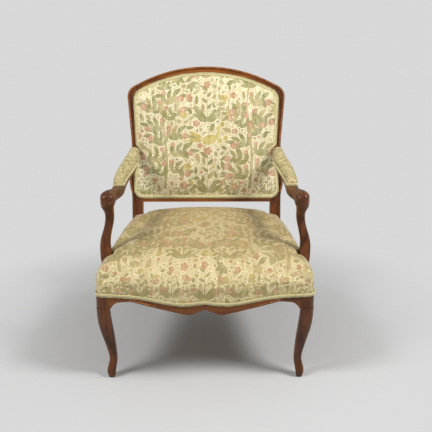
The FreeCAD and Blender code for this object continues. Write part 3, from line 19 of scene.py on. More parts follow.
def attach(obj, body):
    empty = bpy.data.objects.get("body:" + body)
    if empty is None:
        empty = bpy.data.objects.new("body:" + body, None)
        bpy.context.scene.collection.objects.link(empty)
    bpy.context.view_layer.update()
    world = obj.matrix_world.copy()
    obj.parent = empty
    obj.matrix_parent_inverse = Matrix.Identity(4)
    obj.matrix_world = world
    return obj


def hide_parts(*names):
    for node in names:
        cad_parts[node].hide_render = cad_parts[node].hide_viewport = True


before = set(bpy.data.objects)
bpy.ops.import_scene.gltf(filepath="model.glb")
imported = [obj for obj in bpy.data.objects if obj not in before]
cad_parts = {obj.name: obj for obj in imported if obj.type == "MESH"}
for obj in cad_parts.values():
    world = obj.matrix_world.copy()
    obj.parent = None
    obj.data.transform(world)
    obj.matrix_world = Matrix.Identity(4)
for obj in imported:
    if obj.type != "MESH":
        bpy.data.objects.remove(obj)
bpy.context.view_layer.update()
MM = 0.001
SIDES = {"right": 1, "left": -1}


# %% [markdown]
# ## The camera
#
# The camera looks down at the chair from a little over two metres in front of it, almost square on. Its
# place was found by matching measured points of the chair with where they appear, and the small shift
# stands for a picture that was cropped a little off its middle.

# %% Camera
CAMERA_PLACE = Vector((0.030, -2.402, 1.244))
CAMERA_TARGET = Vector((0.0453, -0.081, 0.4895))


def add_object(name, data):
    """A new object in the scene."""
    made = bpy.data.objects.new(name, data)
    bpy.context.collection.objects.link(made)
    return made


camera_data = bpy.data.cameras.new("camera")
camera_data.lens = 59.02
camera_data.sensor_width = 36
camera_data.shift_x = -0.00625
camera_data.shift_y = 0.0051
camera = add_object("camera", camera_data)
camera.location = CAMERA_PLACE
camera.rotation_euler = (CAMERA_TARGET - CAMERA_PLACE).to_track_quat("-Z", "Y").to_euler()
bpy.context.scene.camera = camera
bpy.context.scene.view_settings.view_transform = "Standard"
print("camera at", tuple(camera.location))


# %% [markdown]
# ## Floor and light
#
# The chair stands in a studio sweep of even light grey. The floor is a matt surface near the chair, where
# it has to take the soft shadow, and fades into a plain lit backdrop further out, so that no horizon
# shows. Two wide lamps hang high at the right and the left, so that their shadows overlap only under the
# middle of the seat.

# %% Floor and backdrop
BACKDROP_GREY = 0.687
FLOOR_GREY = 0.60
SURROUND_STRENGTH = 0.32
SWEEP_STARTS = 0.45
SWEEP_ENDS = 1.25
LAMP_AIM = Vector((0, 0, 0.5))


def grey(value):
    """A grey with full opacity."""
    return (value, value, value, 1)


def join(tree, pairs):
    """Link each output to its input."""
    for output, entry in pairs:
        tree.links.new(output, entry)


def stage_material():
    """Matt grey near the chair, which turns into an evenly lit backdrop further away."""
    material = bpy.data.materials.new("studio_sweep")
    material.use_nodes = True
    tree = material.node_tree
    tree.nodes.clear()
    output = tree.nodes.new("ShaderNodeOutputMaterial")
    blend = tree.nodes.new("ShaderNodeMixShader")
    matt = tree.nodes.new("ShaderNodeBsdfDiffuse")
    matt.inputs["Color"].default_value = grey(FLOOR_GREY)
    glow = tree.nodes.new("ShaderNodeEmission")
    glow.inputs["Color"].default_value = grey(BACKDROP_GREY)
    place = tree.nodes.new("ShaderNodeTexCoord")
    length = tree.nodes.new("ShaderNodeVectorMath")
    length.operation = "LENGTH"
    fade = tree.nodes.new("ShaderNodeMapRange")
    fade.interpolation_type = "SMOOTHSTEP"
    fade.inputs["From Min"].default_value = SWEEP_STARTS
    fade.inputs["From Max"].default_value = SWEEP_ENDS
    join(tree, [
        (place.outputs["Object"], length.inputs[0]),
        (length.outputs["Value"], fade.inputs["Value"]),
        (fade.outputs["Result"], blend.inputs["Fac"]),
        (matt.outputs["BSDF"], blend.inputs[1]),
        (glow.outputs["Emission"], blend.inputs[2]),
        (blend.outputs["Shader"], output.inputs["Surface"]),
    ])
    return material


bpy.ops.mesh.primitive_plane_add(size=60)
floor = bpy.context.object
floor.name = "studio_floor"
floor.data.materials.append(stage_material())

world = bpy.data.worlds.new("studio")
bpy.context.scene.world = world
world.use_nodes = True
sky = world.node_tree
sky.nodes.clear()
sky_output = sky.nodes.new("ShaderNodeOutputWorld")
surround = sky.nodes.new("ShaderNodeBackground")
surround.inputs["Color"].default_value = grey(1)
surround.inputs["Strength"].default_value = SURROUND_STRENGTH
seen = sky.nodes.new("ShaderNodeBackground")
seen.inputs["Color"].default_value = grey(BACKDROP_GREY)
which_ray = sky.nodes.new("ShaderNodeLightPath")
sky_blend = sky.nodes.new("ShaderNodeMixShader")
join(sky, [
    (which_ray.outputs["Is Camera Ray"], sky_blend.inputs["Fac"]),
    (surround.outputs["Background"], sky_blend.inputs[1]),
    (seen.outputs["Background"], sky_blend.inputs[2]),
    (sky_blend.outputs["Shader"], sky_output.inputs["Surface"]),
])


def lamp(name, place, size, power):
    """A square soft lamp that points at the seat."""
    data = bpy.data.lights.new(name, "AREA")
    data.shape = "SQUARE"
    data.size = size
    data.energy = power
    made = add_object(name, data)
    made.location = place
    made.rotation_euler = (LAMP_AIM - Vector(place)).to_track_quat("-Z", "Y").to_euler()


lamp("key_lamp", (2.05, -1.15, 2.8), 0.9, 79)
lamp("left_lamp", (-2.0, -1.35, 2.8), 1.0, 63)
print("floor, world and two lamps")


# %% [markdown]
# ## Small tools
#
# Every finish is a network of nodes. A few short helpers add nodes and join them, so that each finish
# below reads as a recipe. The mesh helper turns corners and faces into a named piece, at the origin and
# unturned, with its place in its mesh.

# %% Helpers for finishes and meshes
class Recipe:
    """A material under construction: its node tree and shader, with short calls to add to them."""

    def __init__(self, name, roughness, **settings):
        self.material = bpy.data.materials.new(name)
        self.material.use_nodes = True
        self.nodes = self.material.node_tree.nodes
        self.links = self.material.node_tree.links
        self.shader = self.nodes["Principled BSDF"]
        self.shader.inputs["Roughness"].default_value = roughness
        for socket, value in settings.items():
            self.shader.inputs[socket.replace("_", " ")].default_value = value
        self.place = self.nodes.new("ShaderNodeTexCoord").outputs["Object"]

    def set(self, socket, value):
        """Give an input a number, a colour or another node's output."""
        if isinstance(value, bpy.types.NodeSocket):
            self.links.new(value, socket)
        elif isinstance(value, tuple) and len(value) == 3 and len(socket.default_value) == 4:
            socket.default_value = (*value, 1)
        else:
            socket.default_value = value

    def node(self, kind, **inputs):
        """A new node with some of its inputs set or linked."""
        made = self.nodes.new("ShaderNode" + kind)
        for name, value in inputs.items():
            self.set(made.inputs[name], value)
        return made

    def stretched(self, scale, turn=(0, 0, 0), source=None):
        """The piece's own coordinates, scaled and turned."""
        node = self.node("Mapping", Vector=source or self.place, Scale=scale, Rotation=turn)
        return node.outputs["Vector"]

    def noise(self, vector, scale, detail=4, roughness=0.5, distortion=0.0):
        """Cloudy values from 0 to 1."""
        node = self.node("TexNoise", Vector=vector, Scale=scale, Detail=detail)
        node.inputs["Roughness"].default_value = roughness
        node.inputs["Distortion"].default_value = distortion
        return node.outputs["Fac"]

    def waves(self, vector, scale, direction="X", distortion=0.0, detail=0.0):
        """Regular bands."""
        node = self.node("TexWave", Vector=vector, Scale=scale, Distortion=distortion, Detail=detail)
        node.bands_direction = direction
        return node.outputs["Fac"]

    def attribute(self, name):
        """A number stored at the mesh's corners."""
        node = self.node("Attribute")
        node.attribute_name = name
        return node.outputs["Fac"]

    def math(self, operation, *values, clamp=False):
        """Arithmetic on numbers."""
        node = self.node("Math")
        node.operation = operation
        node.use_clamp = clamp
        for socket, value in zip(node.inputs, values):
            self.set(socket, value)
        return node.outputs["Value"]

    def ramp(self, value, low, high, to_low=0.0, to_high=1.0):
        """Map a range of numbers smoothly to another."""
        node = self.node("MapRange")
        node.interpolation_type = "SMOOTHSTEP"
        for socket, number in zip(node.inputs, (value, low, high, to_low, to_high)):
            self.set(socket, number)
        return node.outputs["Result"]

    def mix(self, share, first, second, blend="MIX"):
        """Blend two colours."""
        node = self.node("Mix")
        node.data_type = "RGBA"
        node.blend_type = blend
        self.set(node.inputs[0], share)
        self.set(node.inputs[6], first)
        self.set(node.inputs[7], second)
        return node.outputs[2]

    def colour(self, value):
        """Use a colour for the surface."""
        self.set(self.shader.inputs["Base Color"], value)
        return self

    def bump(self, height, distance, strength=1.0):
        """Raise the surface in the shading."""
        node = self.node("Bump", Distance=distance, Strength=strength, Height=height)
        previous = self.shader.inputs["Normal"].links
        if previous:
            self.links.new(previous[0].from_socket, node.inputs["Normal"])
        self.links.new(node.outputs["Normal"], self.shader.inputs["Normal"])
        return self


def srgb(*values):
    """A colour given as screen values from 0 to 255."""
    shares = [value / 255 for value in values]
    return tuple(share / 12.92 if share < 0.0405 else ((share + 0.055) / 1.055) ** 2.4 for share in shares)


def piece(name, points, faces, material):
    """A named mesh object at the origin, shaded smooth."""
    mesh = bpy.data.meshes.new(name)
    mesh.from_pydata([tuple(point) for point in points], [], [tuple(face) for face in faces])
    mesh.materials.append(material)
    mesh.validate()
    mesh.shade_smooth()
    return add_object(name, mesh)


def dress(made, slot, *nodes):
    """Let a finished piece stand on the frame: its body and the nodes it stands for; the slot is not used."""
    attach(made, "root")
    if nodes:
        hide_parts(*nodes)
    print(f"{made.name}: {len(made.data.vertices)} points, {len(made.data.polygons)} faces")


# %% [markdown]
# ## Walnut
#
# The wood is walnut, stained reddish brown and waxed over many years. The grain runs along each piece, so
# there is one version for upright pieces, one for pieces across the chair and one for those that run from
# front to back. The crosswise one is lighter, as painted light on the crest and the back's rails. The front
# rail has a darker copy, as painted shade, and the beads of the mouldings the lightest, as a painted
# highlight. Long stretched noise gives the growth lines, a finer one the pores, and slow noise the places
# where wax has darkened or hands have worn it lighter.

# %% Walnut finish
GRAIN_STRETCH = {
    "upright": (1, 1, 0.06),
    "across": (0.06, 1, 1),
    "rail_shaded": (0.06, 1, 1),
    "lengthwise": (1, 0.06, 1),
    "worn": (1, 1, 1),
}


def walnut(direction, light=srgb(118, 66, 28), dark=srgb(62, 31, 12), roughness=0.40):
    """Waxed walnut with its grain in one direction."""
    recipe = Recipe(
        "walnut_" + direction, roughness, Coat_Weight=0.06, Coat_Roughness=0.3, Specular_IOR_Level=0.32
    )
    grain = recipe.stretched(GRAIN_STRETCH[direction])
    lines = recipe.noise(grain, 46, 5, 0.55, 1.0)
    pores = recipe.noise(grain, 420, 3, 0.7)
    patches = recipe.noise(recipe.place, 8, 3, 0.5)
    base = recipe.mix(recipe.ramp(lines, 0.3, 0.72), dark, light)
    base = recipe.mix(recipe.ramp(pores, 0.56, 0.74, 0.0, 0.4), base, srgb(58, 28, 12))
    base = recipe.mix(recipe.ramp(patches, 0.45, 0.72, 0.0, 0.35), base, srgb(70, 34, 14))
    worn = recipe.noise(recipe.place, 26, 5, 0.65)
    base = recipe.mix(recipe.ramp(worn, 0.6, 0.8, 0.0, 0.35), base, srgb(164, 100, 44))
    recipe.colour(base)
    recipe.bump(pores, 0.0002, 0.4)
    recipe.bump(recipe.noise(recipe.place, 50, 3), 0.0008, 0.3)
    return recipe.material


walnut_upright = walnut("upright")
# Lighter than the rest of the walnut: painted light on the crest and the back's rails.
walnut_across_lit = walnut("across", srgb(150, 84, 24), srgb(94, 48, 12))
# Darker than the crosswise walnut: painted shade on the front rail.
walnut_rail_shaded = walnut("rail_shaded", srgb(130, 74, 26), srgb(80, 41, 12))
# The lightest walnut, for the beads: a painted highlight along each bead.
walnut_bead_highlight = walnut("worn", srgb(172, 104, 44), srgb(120, 66, 24), 0.34)
walnut_lengthwise = walnut("lengthwise")
print("five walnut finishes")


# %% [markdown]
# ## Plain wood, steel, iron and jute
#
# Under the cloth the chair is plain: pale glue blocks, turned pegs, steel screws, blued tacks, jute webbing
# with a herringbone weave and an open hessian. They show from below, so each gets a finish of its own.

# %% Hidden finishes
def sawn_wood():
    """Pale beech, straight from the saw, a little dusty."""
    recipe = Recipe("sawn_beech", 0.78)
    grain = recipe.stretched((0.08, 0.08, 1))
    lines = recipe.noise(grain, 90, 5, 0.6, 0.8)
    saw = recipe.waves(recipe.place, 160, "DIAGONAL", 1.5, 2)
    base = recipe.mix(recipe.ramp(lines, 0.3, 0.7), srgb(150, 112, 72), srgb(196, 160, 112))
    stains = recipe.ramp(recipe.noise(recipe.place, 18, 4), 0.5, 0.8, 0, 0.5)
    base = recipe.mix(stains, base, srgb(110, 80, 52))
    recipe.colour(base)
    recipe.bump(saw, 0.0003, 0.4)
    recipe.bump(lines, 0.0004, 0.4)
    return recipe.material


def screw_steel():
    """Dull steel with a trace of rust."""
    recipe = Recipe("screw_steel", 0.42, Metallic=1.0)
    spots = recipe.ramp(recipe.noise(recipe.place, 160, 4), 0.52, 0.66)
    recipe.colour(recipe.mix(spots, srgb(150, 148, 142), srgb(92, 66, 48)))
    recipe.bump(recipe.noise(recipe.place, 600, 3), 0.0002, 0.5)
    return recipe.material


def tack_iron():
    """Blued cut tacks."""
    recipe = Recipe("tack_iron", 0.48, Metallic=1.0)
    recipe.colour(recipe.mix(recipe.noise(recipe.place, 300, 3), srgb(54, 55, 62), srgb(86, 82, 80)))
    recipe.bump(recipe.noise(recipe.place, 900, 2), 0.0002, 0.5)
    return recipe.material


def jute(name, turn):
    """Herringbone webbing: fine bands that change direction every few millimetres."""
    recipe = Recipe(name, 0.9)
    flat = recipe.stretched((1, 1, 1), (0, 0, turn))
    ribs = recipe.waves(flat, 58, "X")
    left = recipe.waves(flat, 150, "DIAGONAL")
    right = recipe.waves(recipe.stretched((-1, 1, 1), (0, 0, 0), flat), 150, "DIAGONAL")
    twill = recipe.mix(recipe.ramp(ribs, 0.45, 0.55), left, right)
    fibre = recipe.noise(recipe.place, 700, 3)
    base = recipe.mix(twill, srgb(118, 92, 58), srgb(186, 158, 112))
    base = recipe.mix(recipe.ramp(fibre, 0.5, 0.75, 0, 0.5), base, srgb(206, 184, 140))
    recipe.colour(base)
    recipe.bump(twill, 0.0006, 0.8)
    recipe.bump(fibre, 0.0003, 0.5)
    return recipe.material


def hessian_cloth():
    """An open plain weave of coarse jute yarn."""
    recipe = Recipe("hessian_cloth", 0.95)
    warp = recipe.waves(recipe.place, 190, "X", 0.6, 2)
    weft = recipe.waves(recipe.place, 190, "Y", 0.6, 2)
    weave = recipe.math("MAXIMUM", warp, weft)
    base = recipe.mix(recipe.ramp(weave, 0.35, 0.9), srgb(74, 56, 34), srgb(182, 150, 100))
    recipe.colour(base)
    recipe.bump(weave, 0.0006, 0.9)
    return recipe.material


beech = sawn_wood()
steel = screw_steel()
iron = tack_iron()
jute_across = jute("jute_across", 0)
jute_lengthwise = jute("jute_lengthwise", math.pi / 2)
hessian = hessian_cloth()
print("six hidden finishes")


# %% [markdown]
# ## Finishes on the joiner's pieces
#
# The frame's wood and iron are shown as the joiner made them, and only need a finish. Pieces on the right
# and the left share one, so the table below names each family once.

# %% Give the joiner's pieces their finish
FINISHES = {
    "front_leg": walnut_upright,
    "back_post": walnut_upright,
    "arm_support": walnut_upright,
    "arm": walnut_lengthwise,
    "side_seat_rail": walnut_lengthwise,
    "front_corner_block": beech,
    "rear_corner_block": beech,
    "crest_rail": walnut_across_lit,
    "lower_back_rail": walnut_across_lit,
    "front_seat_rail": walnut_rail_shaded,
    "back_seat_rail": walnut_across_lit,
    "joint_pegs": beech,
    "arm_dowels": beech,
    "corner_block_screws": steel,
    "arm_support_screws": steel,
    "seat_webbing_tacks": iron,
    "back_webbing_tacks": iron,
}
for node_name, node_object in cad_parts.items():
    family = node_name.removesuffix("_right").removesuffix("_left")
    if family in FINISHES:
        node_object.data.materials.clear()
        node_object.data.materials.append(FINISHES[family])
print(len(FINISHES), "families of nodes have their finish")


# %% [markdown]
# ## Outlines
#
# The seat's plan and the back's shape are polygons with rounded corners, as a joiner lays them out with a
# rule and a compass. One function turns such corners into evenly spaced points. Another gives each point
# of a surface its distance to an outline, which decides where a pad is full and where it rolls over.

# %% Rounded outlines and distances
FRONT_Y = -0.33102
ARC_POINTS = 24


def rounded(corners, step):
    """Evenly spaced points along a closed outline with corners (x, y, radius), counter-clockwise."""
    count = len(corners)
    rows = []
    for index in range(count):
        before, here, after = (np.array(corners[(index + k) % count][:2]) for k in (-1, 0, 1))
        arrive = (here - before) / np.linalg.norm(here - before)
        leave = (after - here) / np.linalg.norm(after - here)
        turn = math.atan2(arrive[0] * leave[1] - arrive[1] * leave[0], arrive @ leave)
        rows.append([here, arrive, leave, corners[index][2], turn])
    for index in range(count):
        first = rows[index]
        second = rows[(index + 1) % count]
        room = 0.98 * np.linalg.norm(second[0] - first[0])
        reaches = [row[3] * abs(math.tan(row[4] / 2)) for row in (first, second)]
        if sum(reaches) > room:
            for row, other in ((first, reaches[1]), (second, reaches[0])):
                row[3] = min(row[3], max(room - other, room / 2) / abs(math.tan(row[4] / 2)))
    dense = []
    for here, arrive, leave, radius, turn in rows:
        reach = radius * abs(math.tan(turn / 2))
        side = math.copysign(1, turn)
        start = here - arrive * reach
        centre = start + np.array((-arrive[1], arrive[0])) * radius * side
        x, y = start - centre
        for part in np.linspace(0, turn, ARC_POINTS):
            cosine, sine = math.cos(part), math.sin(part)
            dense.append(centre + np.array((x * cosine - y * sine, x * sine + y * cosine)))
    return evenly(np.array(dense), step)


def evenly(points, step):
    """Walk along a closed line of points and set new ones at one spacing."""
    line = np.vstack((points, points[:1]))
    lengths = np.concatenate(([0], np.cumsum(np.linalg.norm(np.diff(line, axis=0), axis=1))))
    count = max(3, round(lengths[-1] / step))
    marks = np.linspace(0, lengths[-1], count, endpoint=False)
    return np.stack([np.interp(marks, lengths, line[:, axis]) for axis in range(line.shape[1])], axis=1)


def outline_distance(points, ring):
    """Distance from each flat point to the nearest side of a closed outline, in metres."""
    nearest = np.full(len(points), 9.0)
    for start, end in zip(ring, np.roll(ring, -1, axis=0)):
        along = end - start
        share = np.clip(((points - start) @ along) / (along @ along), 0, 1)
        nearest = np.minimum(nearest, np.linalg.norm(points - start - share[:, None] * along, axis=1))
    return nearest


def outline_normals(ring):
    """Outward directions along a counter-clockwise outline."""
    along = np.roll(ring, -1, axis=0) - np.roll(ring, 1, axis=0)
    along /= np.linalg.norm(along, axis=1, keepdims=True)
    return np.column_stack((along[:, 1], -along[:, 0]))


def shrunk(ring, distance):
    """An outline moved inwards."""
    return ring - outline_normals(ring) * distance


def smooth_step(values, low, high):
    """0 below low, 1 above high, and an even curve between."""
    share = np.clip((values - low) / (high - low), 0, 1)
    return share * share * (3 - 2 * share)


def mirror_corners(right):
    """Complete the right half of an outline that starts on the middle line."""
    return right + [(-x, y, radius) for x, y, radius in reversed(right) if x > 0]


print("outline tools")


# %% [markdown]
# ## The figured cloth
#
# The cover is a woven verdure: fruit trees, a flowering bush and drifts of small leaves in moss, olive,
# rose and ochre, edged with cream, on a mottled tan ground with a satin sheen. Each motif is a simple
# signed shape, such as a lens for a leaf or a disc for a fruit. For each point of the cloth the script
# stores how far, in millimetres, it lies inside the nearest motif of each colour. The finish then cuts
# those numbers at zero, which gives edges much crisper than the mesh. The layout is the script's own,
# drawn from fixed seeds.

# %% Motifs
COLOURS = ("moss", "olive", "rose", "ochre", "cream")
MARGIN = 16.0
HALF_LINE = 0.6
OUTSIDE = -9
PETALS = 5


class Cloth:
    """A piece of figured cloth: its points in millimetres and how deep they lie in each colour."""

    def __init__(self, across, up):
        self.across = across
        self.up = up
        self.depth = {colour: np.full(len(across), -MARGIN) for colour in COLOURS}

    def near(self, x, y, reach):
        """Points close to a motif."""
        reach += MARGIN
        return np.nonzero((np.abs(self.across - x) < reach) & (np.abs(self.up - y) < reach))[0]

    def around(self, x, y, reach):
        """Points close to a place, and how far each is from it."""
        chosen = self.near(x, y, reach)
        return chosen, np.hypot(self.across[chosen] - x, self.up[chosen] - y)

    def add(self, colour, chosen, depth):
        """Lay a motif over what is there."""
        self.depth[colour][chosen] = np.maximum(self.depth[colour][chosen], depth)

    def leaf(self, x, y, angle, length, width, colour="moss", bend=0.0, vein=True):
        """A pointed leaf from its stalk, with a cream midrib."""
        chosen = self.near(x, y, length + width)
        dx = self.across[chosen] - x
        dy = self.up[chosen] - y
        cosine, sine = math.cos(angle), math.sin(angle)
        along = (dx * cosine + dy * sine) / length
        aside = -dx * sine + dy * cosine
        inside = np.clip(along, 0, 1)
        aside = aside - bend * length * inside * inside
        half = width / 2 * np.sin(math.pi * inside**0.8) ** 0.8
        past = np.maximum(np.maximum(-along, along - 1), 0) * length
        depth = half - np.hypot(aside, past)
        self.add(colour, chosen, depth)
        self.add("cream", chosen, HALF_LINE - np.abs(depth + 0.2))
        if vein:
            on_vein = (along > 0.08) & (along < 0.8)
            self.add("cream", chosen, np.where(on_vein, HALF_LINE - np.abs(aside), OUTSIDE))

    def palm(self, x, y, angle, length, leaves, spread, colour="moss", width=0.26):
        """A spray of leaves from one point."""
        for index in range(leaves):
            share = index / (leaves - 1) - 0.5
            reach = length * (1 - 0.55 * abs(share))
            self.leaf(x, y, angle + spread * share, reach, length * width, colour, 0.18 * share)

    def disc(self, x, y, radius, colour="rose"):
        """A round fruit or flower with a cream ring and a lighter heart."""
        chosen, away = self.around(x, y, radius + 4)
        self.add(colour, chosen, radius - away)
        self.add("cream", chosen, 0.9 - np.abs(away - radius * 0.45))

    def flower(self, x, y, radius, colour):
        """Round petals about a heart."""
        ring = radius * 0.62
        for index in range(PETALS):
            turn = 2 * math.pi * index / PETALS
            chosen, away = self.around(x + ring * math.cos(turn), y + ring * math.sin(turn), radius)
            self.add(colour, chosen, radius * 0.4 - away)
        chosen, away = self.around(x, y, radius)
        self.add("ochre", chosen, radius * 0.3 - away)

    def stem(self, points, thick, thin, colour="olive"):
        """A stem or trunk along a few points, tapering."""
        count = len(points) - 1
        for index in range(count):
            start = np.array(points[index])
            end = np.array(points[index + 1])
            middle = (start + end) / 2
            along = end - start
            chosen = self.near(*middle, np.linalg.norm(along) / 2 + thick + 4)
            flat = np.stack((self.across[chosen], self.up[chosen]), axis=1)
            share = np.clip(((flat - start) @ along) / (along @ along), 0, 1)
            away = np.linalg.norm(flat - start - share[:, None] * along, axis=1)
            half = (thick + (thin - thick) * (index + share) / count) / 2
            self.add(colour, chosen, half - away)

    def room(self, x, y):
        """How far a place is from every motif so far, roughly."""
        chosen = np.nonzero((np.abs(self.across - x) < 3) & (np.abs(self.up - y) < 3))[0]
        if not len(chosen):
            return 0
        return -max(self.depth[colour][chosen].max() for colour in COLOURS[:4])


def branch(start, angle, length, curl, steps=5):
    """Points along a curling branch."""
    points = [start]
    for index in range(steps):
        heading = angle + curl * index / steps
        last = points[-1]
        stride = length / steps
        points.append((last[0] + stride * math.cos(heading), last[1] + stride * math.sin(heading)))
    return points


def leafy(cloth, chance, points, angle, leaf):
    """Leaves in pairs along a branch, turning with it."""
    for step in range(1, len(points) - 1):
        heading = math.atan2(points[step + 1][1] - points[step][1], points[step + 1][0] - points[step][0])
        for lean in (0.95, -0.95):
            size = leaf * chance.uniform(0.8, 1.15)
            green = chance.choice(("moss", "moss", "olive"))
            cloth.leaf(*points[step], heading + lean, size, size * 0.44, green, -0.12 * lean)
    cloth.leaf(*points[-1], angle, leaf, leaf * 0.4, "moss", 0.1)


def fruit_tree(cloth, chance, x, bottom, top, reach, fruit):
    """A slender trunk with rising branches that curl over, each with pairs of leaves and a fruit."""
    sway = chance.uniform(5, 10) * chance.choice((-1, 1))
    trunk = [(x + sway * math.sin(6 * share / 8), bottom + (top - bottom) * share / 8) for share in range(9)]
    cloth.stem(trunk, 12, 6, "olive")
    levels = max(3, round((top - bottom) / 72))
    for level in range(levels):
        for side in (-1, 1):
            up = bottom + (top - bottom) * (0.06 + 0.80 * (level + 0.25 + 0.25 * side) / levels)
            away = reach * chance.uniform(0.85, 1.35) * (1 - 0.2 * level / levels)
            rise = chance.uniform(0.75, 1.45)
            angle = rise if side > 0 else math.pi - rise
            start = (x + sway * math.sin(6 * (up - bottom) / (top - bottom)), up)
            points = branch(start, angle, away, -side * chance.uniform(0.9, 2.2), 4)
            cloth.stem(points, 6, 3, "olive")
            leafy(cloth, chance, points, angle - side * chance.uniform(0.6, 1.6), 40)
            if fruit:
                tip = points[-1]
                cloth.disc(tip[0] + side * 6, tip[1] - 10, chance.uniform(10.5, 13.5))
                cloth.disc(points[2][0] - side * 15, points[2][1] + 20, chance.uniform(8.5, 11.0))
    cloth.palm(x + sway * math.sin(6), top - 12, math.pi / 2, 44, 5, 2.6, "moss", 0.34)


def bush(cloth, chance, x, bottom, height):
    """Curling stems with leaves along them and a flower on each."""
    for share in (-1, -0.5, 0, 0.5, 1):
        angle = math.pi / 2 + share * chance.uniform(0.75, 0.95)
        length = height * (1 - 0.28 * abs(share)) * chance.uniform(0.92, 1.05)
        points = branch((x, bottom), angle, length, share * 1.1, 6)
        cloth.stem(points, 4, 2.6, "olive")
        for step in (2, 3, 4, 5):
            lean = 0.8 if step % 2 else -0.8
            size = height * chance.uniform(0.2, 0.27)
            green = chance.choice(("moss", "olive"))
            cloth.leaf(*points[step], angle + lean + share * 0.5, size, size * 0.42, green, 0.1)
        cloth.flower(*points[-1], height * 0.11, chance.choice(("rose", "rose", "ochre")))
    for share in (-1, -0.6, 0.6, 1):
        cloth.leaf(x, bottom, math.pi / 2 + share * 1.3, height * 0.42, height * 0.13, "moss", -0.25 * share)


def bird(cloth, x, y, scale):
    """A standing bird with a long tail, in ochre."""
    cloth.leaf(x - 22 * scale, y - 3 * scale, 0.25, 46 * scale, 25 * scale, "ochre", 0.05, False)
    neck = [(13, 8), (22, 22), (20, 31)]
    cloth.stem([(x + a * scale, y + b * scale) for a, b in neck], 9 * scale, 6 * scale, "ochre")
    cloth.disc(x + 21 * scale, y + 33 * scale, 6 * scale, "ochre")
    for turn in (-0.25, 0.0, 0.25):
        colour = "ochre" if turn else "moss"
        cloth.leaf(x - 14 * scale, y, math.pi - 0.35 + turn, 52 * scale, 11 * scale, colour, 0.1)
    for foot in (-2, 8):
        hip = x + foot * scale
        cloth.stem([(hip, y - 6 * scale), (hip + 2, y - 26 * scale)], 3, 2.4, "olive")


def scatter(cloth, chance, low, high, tries, least):
    """Fill what is left: the more room, the larger the leaf, spray, flower, bud or curl."""
    for _ in range(tries):
        x = chance.uniform(low[0], high[0])
        y = chance.uniform(low[1], high[1])
        free = cloth.room(x, y) - 1.2
        if free < least:
            continue
        free = min(free, 13)
        angle = chance.uniform(0, 2 * math.pi)
        kind = chance.random()
        length = free * chance.uniform(2.5, 3.2)
        start_x = x - length / 2 * math.cos(angle)
        start_y = y - length / 2 * math.sin(angle)
        green = chance.choice(("moss", "olive", "olive"))
        if kind < 0.5:
            bend = chance.uniform(-0.2, 0.2)
            cloth.leaf(start_x, start_y, angle, length, free * 1.45, green, bend, free > 5)
        elif kind < 0.66 and free > 5:
            cloth.flower(x, y, free * 1.1, chance.choice(("rose", "rose", "ochre")))
        elif kind < 0.8:
            cloth.disc(x, y, min(free, 7), chance.choice(("rose", "ochre", "olive")))
        elif kind < 0.9:
            curl = chance.choice((-3, 3))
            cloth.stem(branch((start_x, start_y), angle, length * 1.2, curl), 3.4, 2.4, green)
        else:
            cloth.palm(start_x, start_y, angle, length * 1.1, 4, 2.0, green, 0.4)


def store(made, name, values):
    """Keep one number for each of a mesh's points."""
    layer = made.data.attributes.new(name, "FLOAT", "POINT")
    layer.data.foreach_set("value", values.astype(np.float32))


def figure_cloth(made, across, up, seed, plan, dust_and_shade):
    """Lay the motifs of one panel out and store them on the piece, with the dust and painted shade that dim it.
    """
    cloth = Cloth(across * 1000, up * 1000)
    chance = random.Random(seed)
    for tree in plan["trees"]:
        fruit_tree(cloth, chance, *tree)
    for place in plan["bushes"]:
        bush(cloth, chance, *place)
    for place in plan["birds"]:
        bird(cloth, *place)
    for tries, least in ((900, 7), (1800, 3.4), (3000, 1.3)):
        scatter(cloth, chance, *plan["area"], tries, least)
    for colour in COLOURS:
        store(made, colour, cloth.depth[colour])
    store(made, "dust_and_shade", dust_and_shade)
    covered = np.maximum.reduce([cloth.depth[colour] for colour in COLOURS[:4]]) > 0
    print(f"{made.name}: motifs cover {covered.mean():.0%} of the cloth")
